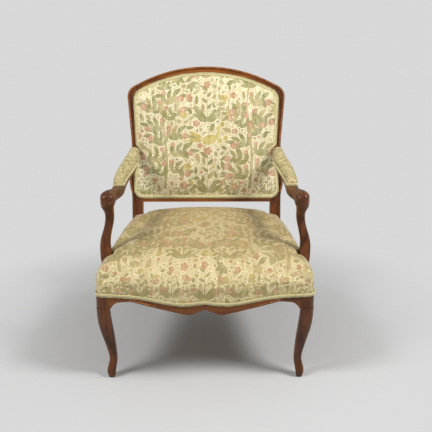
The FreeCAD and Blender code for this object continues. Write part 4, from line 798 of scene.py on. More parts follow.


# %% [markdown]
# ## Colours of the figured cloth
#
# Old wool and silk fade unevenly, and more on a seat than on a back. So one recipe makes both lengths, with
# its own inks and fading for each: mottled ground, pale outline, then the inks, then threads, streaks, and dust
# with painted shade.

# %% Figured cloth finish
def figured_cloth(name, faded, inks, ground_colours, outline_colour):
    """Colours cut from the stored depths, on a mottled ground with a fine weave."""
    recipe = Recipe(name, 0.58, Sheen_Weight=0.15, Sheen_Roughness=0.4, Specular_IOR_Level=0.4)
    yarn = recipe.noise(recipe.place, 900, 2)
    blur = recipe.noise(recipe.place, 240, 4, 0.7)
    slow = recipe.noise(recipe.place, 18, 3)
    tone = recipe.noise(recipe.place, 55, 2)
    ragged = recipe.math("MULTIPLY", recipe.math("SUBTRACT", blur, 0.5), 3.2)
    ground = recipe.mix(recipe.ramp(blur, 0.38, 0.62), *ground_colours)
    ground = recipe.mix(recipe.ramp(slow, 0.45, 0.75, 0, 0.4), ground, srgb(190, 172, 122))
    depths = {colour: recipe.math("ADD", recipe.attribute(colour), ragged) for colour in inks}
    shade = recipe.math("ADD", recipe.math("MULTIPLY", blur, 0.5), recipe.math("MULTIPLY", tone, 0.5))
    shade = recipe.ramp(shade, 0.4, 0.6)
    edge = depths["olive"]
    for colour in ("moss", "ochre", "rose"):
        edge = recipe.math("MAXIMUM", edge, depths[colour])
    outline = recipe.ramp(edge, -3.0, -1.2)
    base = recipe.mix(recipe.math("MULTIPLY", outline, 0.8), ground, outline_colour)
    for colour, (deep, pale) in inks.items():
        ink = recipe.mix(shade, deep, pale)
        heart = recipe.ramp(depths[colour], 1.0, 5.0, 0.0, 0.35)
        ink = recipe.mix(heart, ink, pale)
        ink = recipe.mix(faded, ink, srgb(196, 178, 126))
        base = recipe.mix(recipe.ramp(depths[colour], -0.5, 0.5), base, ink)
    vein = recipe.ramp(recipe.attribute("cream"), -0.2, 0.5)
    base = recipe.mix(recipe.math("MULTIPLY", vein, 0.5), base, outline_colour)
    base = recipe.mix(recipe.ramp(yarn, 0.55, 0.8, 0, 0.25), base, srgb(128, 110, 70))
    streaks = recipe.noise(recipe.stretched((1, 0.14, 0.14)), 75, 4, 0.6)
    base = recipe.mix(recipe.ramp(streaks, 0.48, 0.72, 0, 0.42), base, srgb(158, 134, 82))
    base = recipe.mix(recipe.ramp(streaks, 0.52, 0.30, 0, 0.30), base, outline_colour)
    # Dust and painted shade from the stored values: darker over the seat's top and rear and along the foot of
    # the back.
    base = recipe.mix(recipe.attribute("dust_and_shade"), base, srgb(144, 118, 66))
    recipe.colour(base)
    raised = recipe.ramp(edge, -0.4, 0.8)
    recipe.bump(raised, 0.0007, 0.7)
    recipe.bump(recipe.waves(recipe.place, 330, "DIAGONAL", 0.8, 1), 0.00025, 0.4)
    recipe.bump(yarn, 0.0003, 0.5)
    return recipe.material


BACK_INKS = {
    "olive": (srgb(156, 142, 90), srgb(190, 174, 122)),
    "moss": (srgb(118, 120, 64), srgb(162, 156, 98)),
    "ochre": (srgb(180, 158, 78), srgb(208, 190, 112)),
    "rose": (srgb(174, 122, 92), srgb(204, 158, 124)),
}
SEAT_INKS = {
    "olive": (srgb(146, 126, 76), srgb(178, 158, 106)),
    "moss": (srgb(120, 114, 60), srgb(152, 142, 86)),
    "ochre": (srgb(164, 140, 70), srgb(190, 168, 98)),
    "rose": (srgb(160, 108, 78), srgb(190, 140, 106)),
}
BACK_GROUND = (srgb(196, 180, 132), srgb(238, 226, 184))
SEAT_GROUND = (srgb(182, 162, 112), srgb(222, 206, 158))
back_cloth = figured_cloth("figured_cloth_back", 0.08, BACK_INKS, BACK_GROUND, srgb(250, 242, 210))
seat_cloth = figured_cloth("figured_cloth_seat", 0.25, SEAT_INKS, SEAT_GROUND, srgb(232, 218, 172))
print("two lengths of figured cloth")


# %% [markdown]
# ## How a pad is stuffed
#
# A stuffed seat is a bag under tension: the horsehair pushes out everywhere, and the cloth holds it in at
# the tacks. Blender's cloth with pressure does the same. A closed form, drawn a little small, is remeshed
# into even cells, held where it is nailed and blown up for a few frames. How far each point may move is
# capped, so that the pad stays in the room that the frame leaves it.

# %% Stuff a pad
STUFFING_FRAMES = 20


def walls(levels, count, inward=False):
    """Faces between rings of points, each ring above the last."""
    faces = []
    for low in range(0, (levels - 1) * count, count):
        for index in range(count):
            following = (index + 1) % count
            face = (low + index, low + following, low + count + following, low + count + index)
            faces.append(face[::-1] if inward else face)
    return faces


def gathered(parts):
    """The points and faces of several parts as one list of each."""
    points = []
    faces = []
    for more_points, more_faces in parts:
        faces += [tuple(index + len(points) for index in face) for face in more_faces]
        points += list(more_points)
    return points, faces


def closed_form(rings, material, name):
    """A closed mesh from rings of points, one above the other, capped at both ends."""
    count = len(rings[0])
    points = np.vstack(rings)
    faces = walls(len(rings), count)
    faces.append(tuple(reversed(range(count))))
    faces.append(tuple(range(len(points) - count, len(points))))
    return piece(name, points, faces, material)


def read_rows(collection, field):
    """Three numbers for each item of a mesh, as rows."""
    flat = np.empty(len(collection) * 3, dtype=np.float32)
    collection.foreach_get(field, flat)
    return flat.reshape(-1, 3)


def read_points(made):
    """A mesh's points as rows."""
    return read_rows(made.data.vertices, "co").astype(float)


def write_points(made, points):
    """Put moved points back."""
    made.data.vertices.foreach_set("co", points.astype(np.float32).ravel())
    made.data.update()


def apply_modifiers(made):
    """Turn a piece with modifiers into a plain mesh."""
    graph = bpy.context.evaluated_depsgraph_get()
    finished = made.evaluated_get(graph)
    plain = bpy.data.meshes.new_from_object(finished, preserve_all_data_layers=True, depsgraph=graph)
    made.modifiers.clear()
    made.data = plain


def modified(made, kind, **settings):
    """Put one modifier on a piece, set it and apply it."""
    modifier = made.modifiers.new(kind.lower(), kind)
    for setting, value in settings.items():
        setattr(modifier, setting, value)
    apply_modifiers(made)


def remeshed(made, cell):
    """Cut a form into even cells."""
    modified(made, "REMESH", mode="VOXEL", voxel_size=cell)


def stuffed(made, held, cap, pressure=4.0):
    """Blow a pad up by cloth simulation; held gives the points that are nailed down."""
    before = read_points(made)
    nails = made.vertex_groups.new(name="nailed")
    nails.add([int(index) for index in np.nonzero(held)[0]], 1.0, "REPLACE")
    scene = bpy.context.scene
    scene.frame_start = 1
    scene.frame_end = STUFFING_FRAMES
    scene.frame_set(1)
    cloth = made.modifiers.new("stuffing", "CLOTH")
    cloth.settings.effector_weights.gravity = 0
    cloth.settings.use_pressure = True
    cloth.settings.uniform_pressure_force = pressure
    cloth.settings.vertex_group_mass = "nailed"
    cloth.settings.quality = 4
    cloth.collision_settings.use_collision = False
    cloth.point_cache.frame_start = 1
    cloth.point_cache.frame_end = STUFFING_FRAMES
    for step in range(1, STUFFING_FRAMES + 1):
        scene.frame_set(step)
    apply_modifiers(made)
    scene.frame_set(1)
    moved = read_points(made) - before
    length = np.linalg.norm(moved, axis=1, keepdims=True)
    capped = moved * (cap * np.tanh(length / cap) / np.maximum(length, 1e-9))
    write_points(made, before + capped)
    made.vertex_groups.clear()
    print(f"{made.name}: the cloth moved up to {length.max() * 1000:.1f} mm, capped at {cap * 1000:.0f} mm")


def smoothed(made, rounds):
    """Even a mesh out a little."""
    modified(made, "SMOOTH", iterations=rounds, factor=0.5)


def subdivided(made):
    """One level of subdivision, applied."""
    modified(made, "SUBSURF", levels=1, render_levels=1)
    made.data.shade_smooth()


def reworked(made, work):
    """Open a mesh for editing, let a function change it, and put it back."""
    mesh = bmesh.new()
    mesh.from_mesh(made.data)
    work(mesh)
    mesh.to_mesh(made.data)
    mesh.free()


def face_outwards(mesh):
    """Turn every face of an open mesh to the outside."""
    bmesh.ops.recalc_face_normals(mesh, faces=mesh.faces)


def keep_faces(made, wanted):
    """Delete the faces whose middle isn't wanted, and loose points."""
    flags = wanted(read_rows(made.data.polygons, "center"))

    def drop(mesh):
        unwanted = [face for face in mesh.faces if not flags[face.index]]
        bmesh.ops.delete(mesh, geom=unwanted, context="FACES")

    reworked(made, drop)


print("upholstery tools")


# %% [markdown]
# ## The seat
#
# The seat pad follows the serpentine front, rolls over a firm edge, rises to a crown and climbs a little
# to the back. It is cut out round the arm supports and the back posts. Shallow creases run from each
# support towards the middle of the back, where the cloth is pulled round the wood.

# %% Seat pad
SEAT_CORNERS = mirror_corners([
    (0, FRONT_Y - 0.060975, 0.8),
    (0.253, FRONT_Y - 0.0035, 0.253),
    (0.352, FRONT_Y + 0.005, 0.026),
    (0.352, FRONT_Y + 0.060, 0.253),
    (0.2872, FRONT_Y + 0.5355, 0.006),
    (0.2445, FRONT_Y + 0.5355, 0.003),
    (0.2445, FRONT_Y + 0.573, 0.003),
])
SEAT_MIDDLE = np.array((0.0, FRONT_Y + 0.2675))
COVER_LINE = 0.311
ROLL = 0.392
CROWN = 0.036
RISE_TO_BACK = 0.078
SUPPORT_Y = FRONT_Y + 0.158
NOTCH_X = 0.3055
NOTCH_REACH = 0.031
SEAT_CELL = 0.0058
SEAT_SWELL = 0.012
TACK_Z = 0.352
CREASES = [
    # from and to, as x and y behind the chair's front, then width, depth and bow
    ((0.3015, 0.184), (0.12, 0.50), 0.024, 0.0105, 0.016),
    ((0.3015, 0.184), (0.17, 0.36), 0.008, 0.0040, -0.006),
    ((0.3015, 0.130), (0.17, 0.03), 0.016, 0.0034, 0.006),
    ((0.2430, 0.530), (0.12, 0.40), 0.018, 0.0035, 0.0),
]
HOLLOWS = [
    # middle, reach and depth: at the rear corners and round the arm supports
    ((0.2620, 0.560), 0.110, 0.021),
    ((0.3248, 0.158), 0.042, 0.006),
]


def seat_form():
    """Rings of the seat's closed form, from below the cloth's edge to the crown."""
    plan = rounded(SEAT_CORNERS, 0.008)
    outward = outline_normals(plan)
    rows = [
        # height, inset, share of the plan and share of the rise to the back
        (0.290, 0.0016, 1, 0),
        (0.350, 0.0016, 1, 0),
        (0.366, 0.0020, 1, 0.35),
        (ROLL - 0.014, 0.0045, 1, 0.7),
        (ROLL - 0.005, 0.011, 1, 0.9),
        (ROLL + 0.002, 0.023, 1, 1),
        (ROLL + 0.30 * CROWN, 0.023, 0.93, 1),
        (ROLL + 0.56 * CROWN, 0.023, 0.82, 1),
        (ROLL + 0.78 * CROWN, 0.023, 0.68, 1),
        (ROLL + 0.93 * CROWN, 0.023, 0.50, 1),
        (ROLL + CROWN, 0.023, 0.28, 1),
    ]
    rings = []
    for height, inset, share, tilt in rows:
        flat = SEAT_MIDDLE + (plan - outward * inset - SEAT_MIDDLE) * share
        up = height + RISE_TO_BACK * tilt * (flat[:, 1] - FRONT_Y)
        rings.append(np.column_stack((flat, up)))
    return rings


def front_edge(x):
    """Height of the cloth's edge along the serpentine front."""
    marks = np.array((0, 0.030, 0.073, 0.115, 0.160, 0.205, 0.36))
    drops = np.array((0.0065, 0.0105, 0.0150, 0.0115, 0.0055, 0.0010, 0))
    return COVER_LINE - np.interp(np.abs(x), marks, drops)


def cover_edge(points):
    """Height of the cloth's lower edge all round the seat."""
    front = points[:, 1] < FRONT_Y + 0.06
    return np.where(front, front_edge(points[:, 0]), COVER_LINE)


def crease(points, start, end, width, depth, bow):
    """How far a soft valley between two places sinks the cloth."""
    away = points[:, :2] - start
    along = end - start
    share = (away @ along) / (along @ along)
    aside = (away[:, 0] * along[1] - away[:, 1] * along[0]) / np.linalg.norm(along)
    aside = aside - bow * np.sin(np.pi * np.clip(share, 0, 1))
    fade = smooth_step(share, -0.08, 0.1) * (1 - smooth_step(share, 0.55, 1.1))
    return depth * fade * np.exp(-((aside / width) ** 2))


def seat_sink(points):
    """How far the creases and hollows sink the top of the seat."""
    sink = np.zeros(len(points))
    for side in SIDES.values():
        def placed(spot):
            return np.array((side * spot[0], FRONT_Y + spot[1]))

        for start, end, width, depth, bow in CREASES:
            sink += crease(points, placed(start), placed(end), width, depth, side * bow)
        for middle, reach, depth in HOLLOWS:
            away = np.linalg.norm(points[:, :2] - placed(middle), axis=1)
            sink += depth * np.exp(-((away / reach) ** 2))
    return sink * smooth_step(points[:, 2], 0.372, 0.405)


def notch_cutter(name, side):
    """A box with the room that the cloth leaves round an arm support."""
    low_x, high_x = sorted((side * NOTCH_X, side * 0.45))
    bpy.ops.mesh.primitive_cube_add(size=1)
    cutter = bpy.context.object
    cutter.name = name
    middle = Vector(((low_x + high_x) / 2, SUPPORT_Y, 0.45))
    size = Vector((high_x - low_x, 2 * NOTCH_REACH, 0.30))
    for vertex in cutter.data.vertices:
        vertex.co = Vector(a * b for a, b in zip(vertex.co, size)) + middle
    return cutter


def cut_away(made, cutter):
    """Subtract a closed form and throw it away."""
    modified(made, "BOOLEAN", operation="DIFFERENCE", solver="EXACT", object=cutter)
    bpy.data.objects.remove(cutter)


def nailed_on_seat(points):
    """The points that tacks or the wood hold: low down, at the arm supports and at the back posts."""
    from_middle = np.abs(points[:, 0])
    near_support = np.abs(points[:, 1] - SUPPORT_Y) < NOTCH_REACH + 0.01
    at_support = (from_middle > NOTCH_X - 0.012) & near_support
    at_post = (from_middle > 0.225) & (points[:, 1] > FRONT_Y + 0.515)
    return (points[:, 2] < TACK_Z) | at_support | at_post


def shown_of_seat(middles):
    """The faces above the cloth's edge, without the underside that the rails hide."""
    near_edge = outline_distance(middles[:, :2], rounded(SEAT_CORNERS, 0.01)) < 0.02
    return (middles[:, 2] > cover_edge(middles) + 0.0005) & ((middles[:, 2] > TACK_Z) | near_edge)


seat_pad = closed_form(seat_form(), seat_cloth, "seat_pad")
remeshed(seat_pad, SEAT_CELL)
smoothed(seat_pad, 3)
stuffed(seat_pad, nailed_on_seat(read_points(seat_pad)), SEAT_SWELL)
seat_points = read_points(seat_pad)
seat_points[:, 2] -= seat_sink(seat_points)
write_points(seat_pad, seat_points)
for side_name, side in SIDES.items():
    cut_away(seat_pad, notch_cutter("support_room_" + side_name, side))
keep_faces(seat_pad, shown_of_seat)
subdivided(seat_pad)


# %% [markdown]
# ## The figure on the seat
#
# Cloth isn't painted on, it is folded over. Each point of the pad is given its place on the flat cloth: as it
# lies on the top, and measured on down the fold at the front, the sides and the back.

# %% Figure of the seat
def seat_cloth_places(points):
    """Lay the cloth flat: on the top as it lies, and down the front and the sides as it folds over."""
    drop = np.maximum(ROLL + RISE_TO_BACK * (points[:, 1] - FRONT_Y) - points[:, 2], 0)
    front = smooth_step(-points[:, 1] + FRONT_Y, -0.04, 0.0)
    rear = smooth_step(points[:, 1] - FRONT_Y, 0.505, 0.535)
    aside = (1 - front) * smooth_step(np.abs(points[:, 0]), 0.24, 0.28)
    across = points[:, 0] + np.sign(points[:, 0]) * drop * aside * (1 - rear)
    return across, points[:, 1] - FRONT_Y + drop * (rear - front)


def seat_dust_and_shade(behind):
    """Darker on the top of the seat than on its front, and more so towards the back: partly dust, partly
    painted shade.
    """
    return 0.02 + 0.27 * smooth_step(behind, 0.0, 0.12) + 0.22 * smooth_step(behind, 0.22, 0.5)


seat_points = read_points(seat_pad)
figure_cloth(seat_pad, *seat_cloth_places(seat_points), 11, {
    # millimetres across and back: trees as middle, foot, top, reach and fruit, bushes as place and height
    "area": ((-380, -150), (380, 720)),
    "trees": [
        (-150, 60, 520, 84, True),
        (152, 66, 530, 84, True),
        (-272, 20, 330, 60, False),
        (268, 26, 340, 60, False),
    ],
    "bushes": [
        (-290, -84, 90), (-205, -90, 110), (-105, -102, 100), (0, -110, 120), (104, -102, 100),
        (206, -90, 110), (290, -84, 90), (0, 90, 190), (-70, 40, 120), (80, 40, 120),
    ],
    "birds": [(-20, 330, 1.5)],
}, seat_dust_and_shade(seat_points[:, 1] - FRONT_Y))
dress(seat_pad, "figured_cover", "seat_cover", "seat_stuffing")


# %% [markdown]
# ## The back
#
# The pad of the back is flat against its ledge and crowned in front. Along the bottom the cloth is drawn in
# hard above a soft border, so that the pad hangs over a little there, while the top and the sides round
# over evenly. It is worked out in the back's own leaned plane: across, up the slope and out of it.

# %% The back's own plane
LEAN = math.radians(13)
BACK_Y = FRONT_Y + 0.550
BACK_Z = 0.430
UP_THE_BACK = np.array((0.0, math.sin(LEAN), math.cos(LEAN)))
OUT_OF_BACK = np.array((0.0, -math.cos(LEAN), math.sin(LEAN)))
BACK_ORIGIN = np.array((0.0, BACK_Y, BACK_Z))
LEDGE_FRONT = -0.007
LEDGE_REAR = -0.026
PAD_CORNERS = mirror_corners([
    (0.280, 0.043, 0.034),
    (0.268, 0.232, 0.473),
    (0.278, 0.44524, 0.045),
    (0, 0.58689, 0.555),
])


def on_back(across, up, out):
    """Points in space from places on the leaned back."""
    flat = np.stack(np.broadcast_arrays(across, up, out), axis=1)
    return BACK_ORIGIN + flat @ np.array(((1.0, 0, 0), UP_THE_BACK, OUT_OF_BACK))


def back_places(points):
    """Places on the leaned back from points in space."""
    away = points - BACK_ORIGIN
    return points[:, 0], away @ UP_THE_BACK, away @ OUT_OF_BACK


def edge_distances(across, up, ring):
    """How far places on the back are from an outline."""
    return outline_distance(np.column_stack((across, up)), ring)


print(f"the back leans {math.degrees(LEAN):.0f} degrees")

# %% [markdown]
# ## The back's pad
#
# The pad starts as a thin slab inside its ledge, is cut into even cells, domed by a rule and then stuffed.
# A rule gives the drawn-in border that a simulation alone wouldn't find.

# %% Back pad
BACK_CROWN = 0.031
BRAID_WIDTH = 0.012
BACK_CELL = 0.0055
BACK_SWELL = 0.010
BACK_EDGE = 0.0018
DRAWN_SHARE = 0.30

pad_ring = rounded(PAD_CORNERS, 0.008)
drawn_in = shrunk(pad_ring, 0.0006)[::-1]
back_rings = [on_back(*drawn_in.T, out) for out in (LEDGE_FRONT, 0.004)]
back_pad = closed_form(back_rings, back_cloth, "back_pad")
back_pad.data.flip_normals()
remeshed(back_pad, BACK_CELL)


def crowned(across, up, out):
    """The front of the pad: full in the middle, rolled over at the braid and drawn in at the bottom."""
    past_braid = np.maximum(edge_distances(across, up, pad_ring) - BRAID_WIDTH - 0.0006, 0)
    dome = 0.30 * (1 - np.exp(-past_braid / 0.007)) + 0.46 * (1 - np.exp(-past_braid / 0.036))
    dome += 0.24 * smooth_step(past_braid, 0.0, 0.20)
    border = 0.018 + 0.034 * (across / 0.27) ** 2
    drawn = smooth_step(up - 0.043, border, border + 0.042)
    fullness = DRAWN_SHARE + (1 - DRAWN_SHARE) * drawn
    return np.where(out > 0, BACK_EDGE + BACK_CROWN * dome * fullness, out)


across, up, out = back_places(read_points(back_pad))
write_points(back_pad, on_back(across, up, crowned(across, up, out)))
smoothed(back_pad, 4)
across, up, out = back_places(read_points(back_pad))
at_braid = edge_distances(across, up, pad_ring) < BRAID_WIDTH + 0.001
stuffed(back_pad, (out < 0.001) | at_braid, BACK_SWELL)


def shown_of_back(middles):
    """The faces that show, and a little of the turned-over edge."""
    across, up, out = back_places(middles.astype(float))
    return (out > -0.002) | (edge_distances(across, up, pad_ring) < 0.004)


keep_faces(back_pad, shown_of_back)
subdivided(back_pad)
across, up, _ = back_places(read_points(back_pad))
# The last value is painted shade: the foot of the back pad darker, fading out between 60 and 130 mm up.
figure_cloth(back_pad, across, up, 5, {
    "area": ((-285, 38), (285, 525)),
    "trees": [
        (-158, 84, 470, 84, True),
        (165, 84, 478, 84, True),
    ],
    "bushes": [(6, 66, 150), (-232, 58, 84), (236, 58, 84), (-92, 54, 74), (98, 54, 74), (4, 335, 140)],
    "birds": [(16, 262, 1.45)],
}, 0.10 * (1 - smooth_step(up, 0.06, 0.13)))
dress(back_pad, "figured_cover", "back_cover", "back_stuffing")


# %% [markdown]
# ## Plain cloth for the arms and the outer back
#
# The arm pads are covered in cut pieces of the same cloth with no large motif, and the back of the chair
# in a plain length. Both look like a mottled gold and green weave. Two wave textures at right angles give
# the threads, and noise the slubs and the fading.

# %% Plain cloth finish
def plain_cloth(name):
    """A mottled gold and green weave."""
    recipe = Recipe(name, 0.7, Sheen_Weight=0.2, Sheen_Roughness=0.4, Specular_IOR_Level=0.3)
    warp = recipe.waves(recipe.place, 210, "X", 1.2, 2)
    weft = recipe.waves(recipe.place, 210, "Z", 1.2, 2)
    threads = recipe.math("MAXIMUM", warp, weft)
    slubs = recipe.noise(recipe.stretched((1, 0.4, 1)), 150, 4, 0.65)
    specks = recipe.noise(recipe.place, 420, 3, 0.6)
    fading = recipe.noise(recipe.place, 22, 3)
    base = recipe.mix(recipe.ramp(slubs, 0.36, 0.64), srgb(146, 130, 78), srgb(208, 194, 146))
    base = recipe.mix(recipe.ramp(specks, 0.54, 0.68, 0, 0.6), base, srgb(130, 128, 76))
    base = recipe.mix(recipe.ramp(fading, 0.45, 0.75, 0, 0.35), base, srgb(214, 186, 140))
    recipe.colour(base)
    recipe.bump(threads, 0.0004, 0.5)
    recipe.bump(slubs, 0.0006, 0.4)
    return recipe.material


arm_cloth = plain_cloth("plain_cloth")
print("plain cloth")


# %% [markdown]
# ## Arm pads
#
# Each arm carries a long narrow pad that is widest where the forearm rests. The joiner's model has a solid
# of the right size for its stuffing. A merged copy of that solid is remeshed, blown up a little as cloth and
# smoothed. It is held along its underside, where the tacks are.

# %% Arm pads
def node_copy(node, name, material):
    """A merged copy of one of the joiner's solids."""
    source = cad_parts[node]
    made = add_object(name, source.data.copy())
    reworked(made, lambda mesh: bmesh.ops.remove_doubles(mesh, verts=mesh.verts, dist=0.00002))
    made.data.materials.clear()
    made.data.materials.append(material)
    return made


ARM_CELL = 0.0042
ARM_SWELL = 0.006
arm_pads = {}
for side_name in SIDES:
    arm_pad = node_copy("arm_pad_stuffing_" + side_name, "arm_pad_" + side_name, arm_cloth)
    remeshed(arm_pad, ARM_CELL)
    smoothed(arm_pad, 6)
    faces_down = read_rows(arm_pad.data.vertex_normals, "vector")[:, 2] < 0.05
    stuffed(arm_pad, faces_down, ARM_SWELL, 6.0)
    smoothed(arm_pad, 2)
    subdivided(arm_pad)
    dress(arm_pad, "plain_cover", "arm_pad_cover_" + side_name, "arm_pad_stuffing_" + side_name)
    arm_pads[side_name] = arm_pad


# %% [markdown]
# ## The outer back
#
# The back of the chair is closed with one flat length of cloth, tacked into a rebate all round and pulled
# tight. It is a thin sheet with a trace of slack between the tacks, made as a disc of rings that shrink
# towards the middle.

# %% Outer back cloth
SHEET_RINGS = 26
SHEET_STEP = 0.012
BACK_MIDDLE = np.array((0.0, 0.28))
OUTER_BACK_FLAT = LEDGE_REAR - 0.0018
OUTER_BACK_HOLLOW = 0.004


def ring_sheet(name, ring, middle, place, thickness, material):
    """A sheet of rings that shrink towards the middle; place turns flat rows and a share into points."""
    count = len(ring)
    shares = [1 - level / SHEET_RINGS for level in range(SHEET_RINGS)]
    rows = [place(middle + (ring - middle) * share, share) for share in shares]
    points = np.vstack(rows + [place(middle[None, :], 0.0)])
    faces = walls(SHEET_RINGS, count, inward=True)
    last = (SHEET_RINGS - 1) * count
    for index in range(count):
        faces.append((last + (index + 1) % count, last + index, len(points) - 1))
    made = piece(name, points, faces, material)
    modified(made, "SOLIDIFY", thickness=thickness, offset=-1)
    return made


def outer_back_place(flat, share):
    """The outer back's rows, with a small hollow towards the middle."""
    return on_back(*flat.T, OUTER_BACK_FLAT + OUTER_BACK_HOLLOW * (1 - share**2))


rear_ring = shrunk(rounded(PAD_CORNERS, SHEET_STEP), 0.0008)
outer_cloth = ring_sheet("outer_back_cloth", rear_ring, BACK_MIDDLE, outer_back_place, 0.0012, arm_cloth)
dress(outer_cloth, "plain_cover", "outer_back_cover")


# %% [markdown]
# ## Under the stuffing
#
# The seat and the back are strung with jute webbing, over and under like a basket, and covered with
# hessian that carries the stuffing. The joiner's model has the strips as flat layers. Each strip's place is
# read from those solids, and here it rises over one crossing strip and dips under the next.

# %% Webbing
FLAT_SHARE = 0.35
STRAP_POINTS = 120
STRAP_SHARE = 0.9


def strip_boxes(node, flatten):
    """The lowest and highest corner of each strip of a node, in the strip's own plane."""
    scratch = node_copy(node, node + "_measured", hessian)
    points = np.column_stack(flatten(read_points(scratch)))
    label = np.arange(len(points))
    edges = np.array([edge.vertices[:] for edge in scratch.data.edges])
    settled = False
    while not settled:
        lowest = np.minimum(label[edges[:, 0]], label[edges[:, 1]])
        joined = label.copy()
        np.minimum.at(joined, edges[:, 0], lowest)
        np.minimum.at(joined, edges[:, 1], lowest)
        settled = bool((joined == label).all())
        label = joined
    bpy.data.objects.remove(scratch)
    strips = [points[label == part] for part in np.unique(label)]
    return [(strip.min(axis=0), strip.max(axis=0)) for strip in strips]


def strap(rows, aside, over, width, thickness):
    """Points and faces of a flat closed strap along rows of centres."""
    across = np.linspace(-width / 2, width / 2, 6)
    loop = [(place, thickness / 2) for place in across] + [(place, -thickness / 2) for place in across[::-1]]
    points = np.stack([rows + aside * place + over * rise for place, rise in loop], axis=1).reshape(-1, 3)
    count = len(loop)
    faces = [tuple(range(count)), tuple(range(len(points) - 1, len(points) - count - 1, -1))]
    faces += walls(len(rows), count, inward=True)
    return points, faces


def strap_line(box, others, axis, row, layers):
    """Centres along one strap, which rises over one crossing strap and dips under the next."""
    low, high = box
    across_axis = 1 - axis
    width = high[across_axis] - low[across_axis]
    own, low_layer, high_layer = layers
    marks = [low[axis], low[axis] + width]
    heights = [own, own]
    for column, (other_low, other_high) in enumerate(others):
        middle = (other_low[axis] + other_high[axis]) / 2
        if low[axis] + width < middle < high[axis] - width:
            over_it = (row + column + axis) % 2 == 0
            marks += [middle - width * FLAT_SHARE, middle + width * FLAT_SHARE]
            heights += [high_layer if over_it else low_layer] * 2
    marks += [high[axis] - width, high[axis]]
    heights += [own, own]
    order = np.argsort(marks)
    along = np.linspace(low[axis], high[axis], STRAP_POINTS)
    rise = np.interp(along, np.array(marks)[order], np.array(heights)[order])
    rise[3:-3] = np.convolve(rise, np.ones(7) / 7, "valid")
    line = np.zeros((STRAP_POINTS, 3))
    line[:, axis] = along
    line[:, across_axis] = (low[across_axis] + high[across_axis]) / 2
    line[:, 2] = rise
    return line, width


def webbing(name, node, other, axis, flatten, unflatten, material):
    """The interlaced strips that stand for one node, as one piece."""
    across_axis = 1 - axis
    boxes = sorted(strip_boxes(node, flatten), key=lambda box: box[0][across_axis])
    others = sorted(strip_boxes(other, flatten), key=lambda box: box[0][axis])
    own = (boxes[0][0][2] + boxes[0][1][2]) / 2
    far = (others[0][0][2] + others[0][1][2]) / 2
    aside = np.eye(3)[across_axis]
    parts = []
    longest = 0
    for row, box in enumerate(boxes):
        line, width = strap_line(box, others, axis, row, (own, min(own, far), max(own, far)))
        thickness = (box[1][2] - box[0][2]) * STRAP_SHARE
        points, faces = strap(line, aside, np.array((0.0, 0, 1)), width, thickness)
        parts.append((unflatten(points), faces))
        length = float(np.linalg.norm(np.diff(line, axis=0), axis=1).sum())
        longest = max(longest, length)
    made = piece(name, *gathered(parts), material)
    reworked(made, face_outwards)
    dress(made, "jute_webbing", node)
    print(f"{name}: {len(boxes)} strips, the longest {longest * 1000:.0f} mm")


def flat_rows(points):
    """The seat's strips already lie level."""
    return points[:, 0], points[:, 1], points[:, 2]


def level(points):
    """Level strips stay as they are."""
    return points


def leaned(points):
    """Places up the leaned back."""
    return on_back(*points.T)


long_name, cross_name = "seat_webbing_lengthwise", "seat_webbing_crosswise"
webbing(
    "seat_straps_lengthwise", long_name, cross_name, 1, flat_rows, level, jute_lengthwise
)
webbing("seat_straps_crosswise", cross_name, long_name, 0, flat_rows, level, jute_across)
up_name, over_name = "back_webbing_upright", "back_webbing_crosswise"
webbing("back_straps_upright", up_name, over_name, 1, back_places, leaned, jute_lengthwise)
webbing("back_straps_crosswise", over_name, up_name, 0, back_places, leaned, jute_across)


# %% [markdown]
# ## Hessian over the webbing
#
# A coarse jute cloth keeps the horsehair from falling through the webbing. It is flat but for a ripple of a
# fifth of a millimetre, so it is the same sheet of rings as the outer back.

# %% Hessian
RIPPLE = 0.0002


def hessian_layer(name, node, ring, middle, flatten, place):
    """The hessian that stands for one node, as high as its solid and a little uneven."""
    outs = np.column_stack(flatten(read_points(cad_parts[node])))[:, 2]
    low, high = outs.min(), outs.max()

    def lay(flat, share):
        ripple = RIPPLE * np.sin(flat[:, 0] * 90) * np.sin(flat[:, 1] * 110) * share
        return place(np.column_stack((flat, high - RIPPLE + ripple)))

    made = ring_sheet(name, ring, middle, lay, (high - low) * 0.8, hessian)
    reworked(made, face_outwards)
    return made


hessian_ring = shrunk(rounded(SEAT_CORNERS, SHEET_STEP), 0.008)
seat_canvas = hessian_layer("seat_canvas", "seat_hessian", hessian_ring, SEAT_MIDDLE, flat_rows, level)
for side_name, side in SIDES.items():
    cut_away(seat_canvas, notch_cutter("canvas_room_" + side_name, side))
dress(seat_canvas, "hessian", "seat_hessian")
canvas_ring = shrunk(rounded(PAD_CORNERS, SHEET_STEP), 0.006)
back_canvas = hessian_layer("back_canvas", "back_hessian", canvas_ring, BACK_MIDDLE, back_places, leaned)
dress(back_canvas, "hessian", "back_hessian")


# %% [markdown]
# ## Mouldings
#
# A small bead runs along the outer edge of the back's frame and along the lower edge of the front rail,
# in a lighter walnut that paints the highlight along it. It is made as a thin round rod that follows the edge.
# The frame's edge is the same polygon that the joiner uses, moved inwards. The rail's is a free curve, so rays
# shot at the joiner's solid, from the front and from below, find it.

# %% Mouldings on the show wood
FRAME_CORNERS = mirror_corners([
    (0.287, 0.0, 0.003),
    (0.287, 0.055, 0.100),
    (0.297, 0.100, 0.100),
    (0.284, 0.232, 0.515),
    (0.303, 0.4575, 0.045),
    (0, 0.61189, 0.555),
])
BEAD_INSET = 0.0048
BEAD_STARTS = 0.060
BACK_BEAD_RADIUS = 0.0030
RAIL_BEAD_RADIUS = 0.0028
RAIL_BEAD_HALF = 0.240
RAIL_BEAD_ABOVE = 0.0050
RAIL_FACE_Z = 0.305
JUST_BEHIND = 0.006


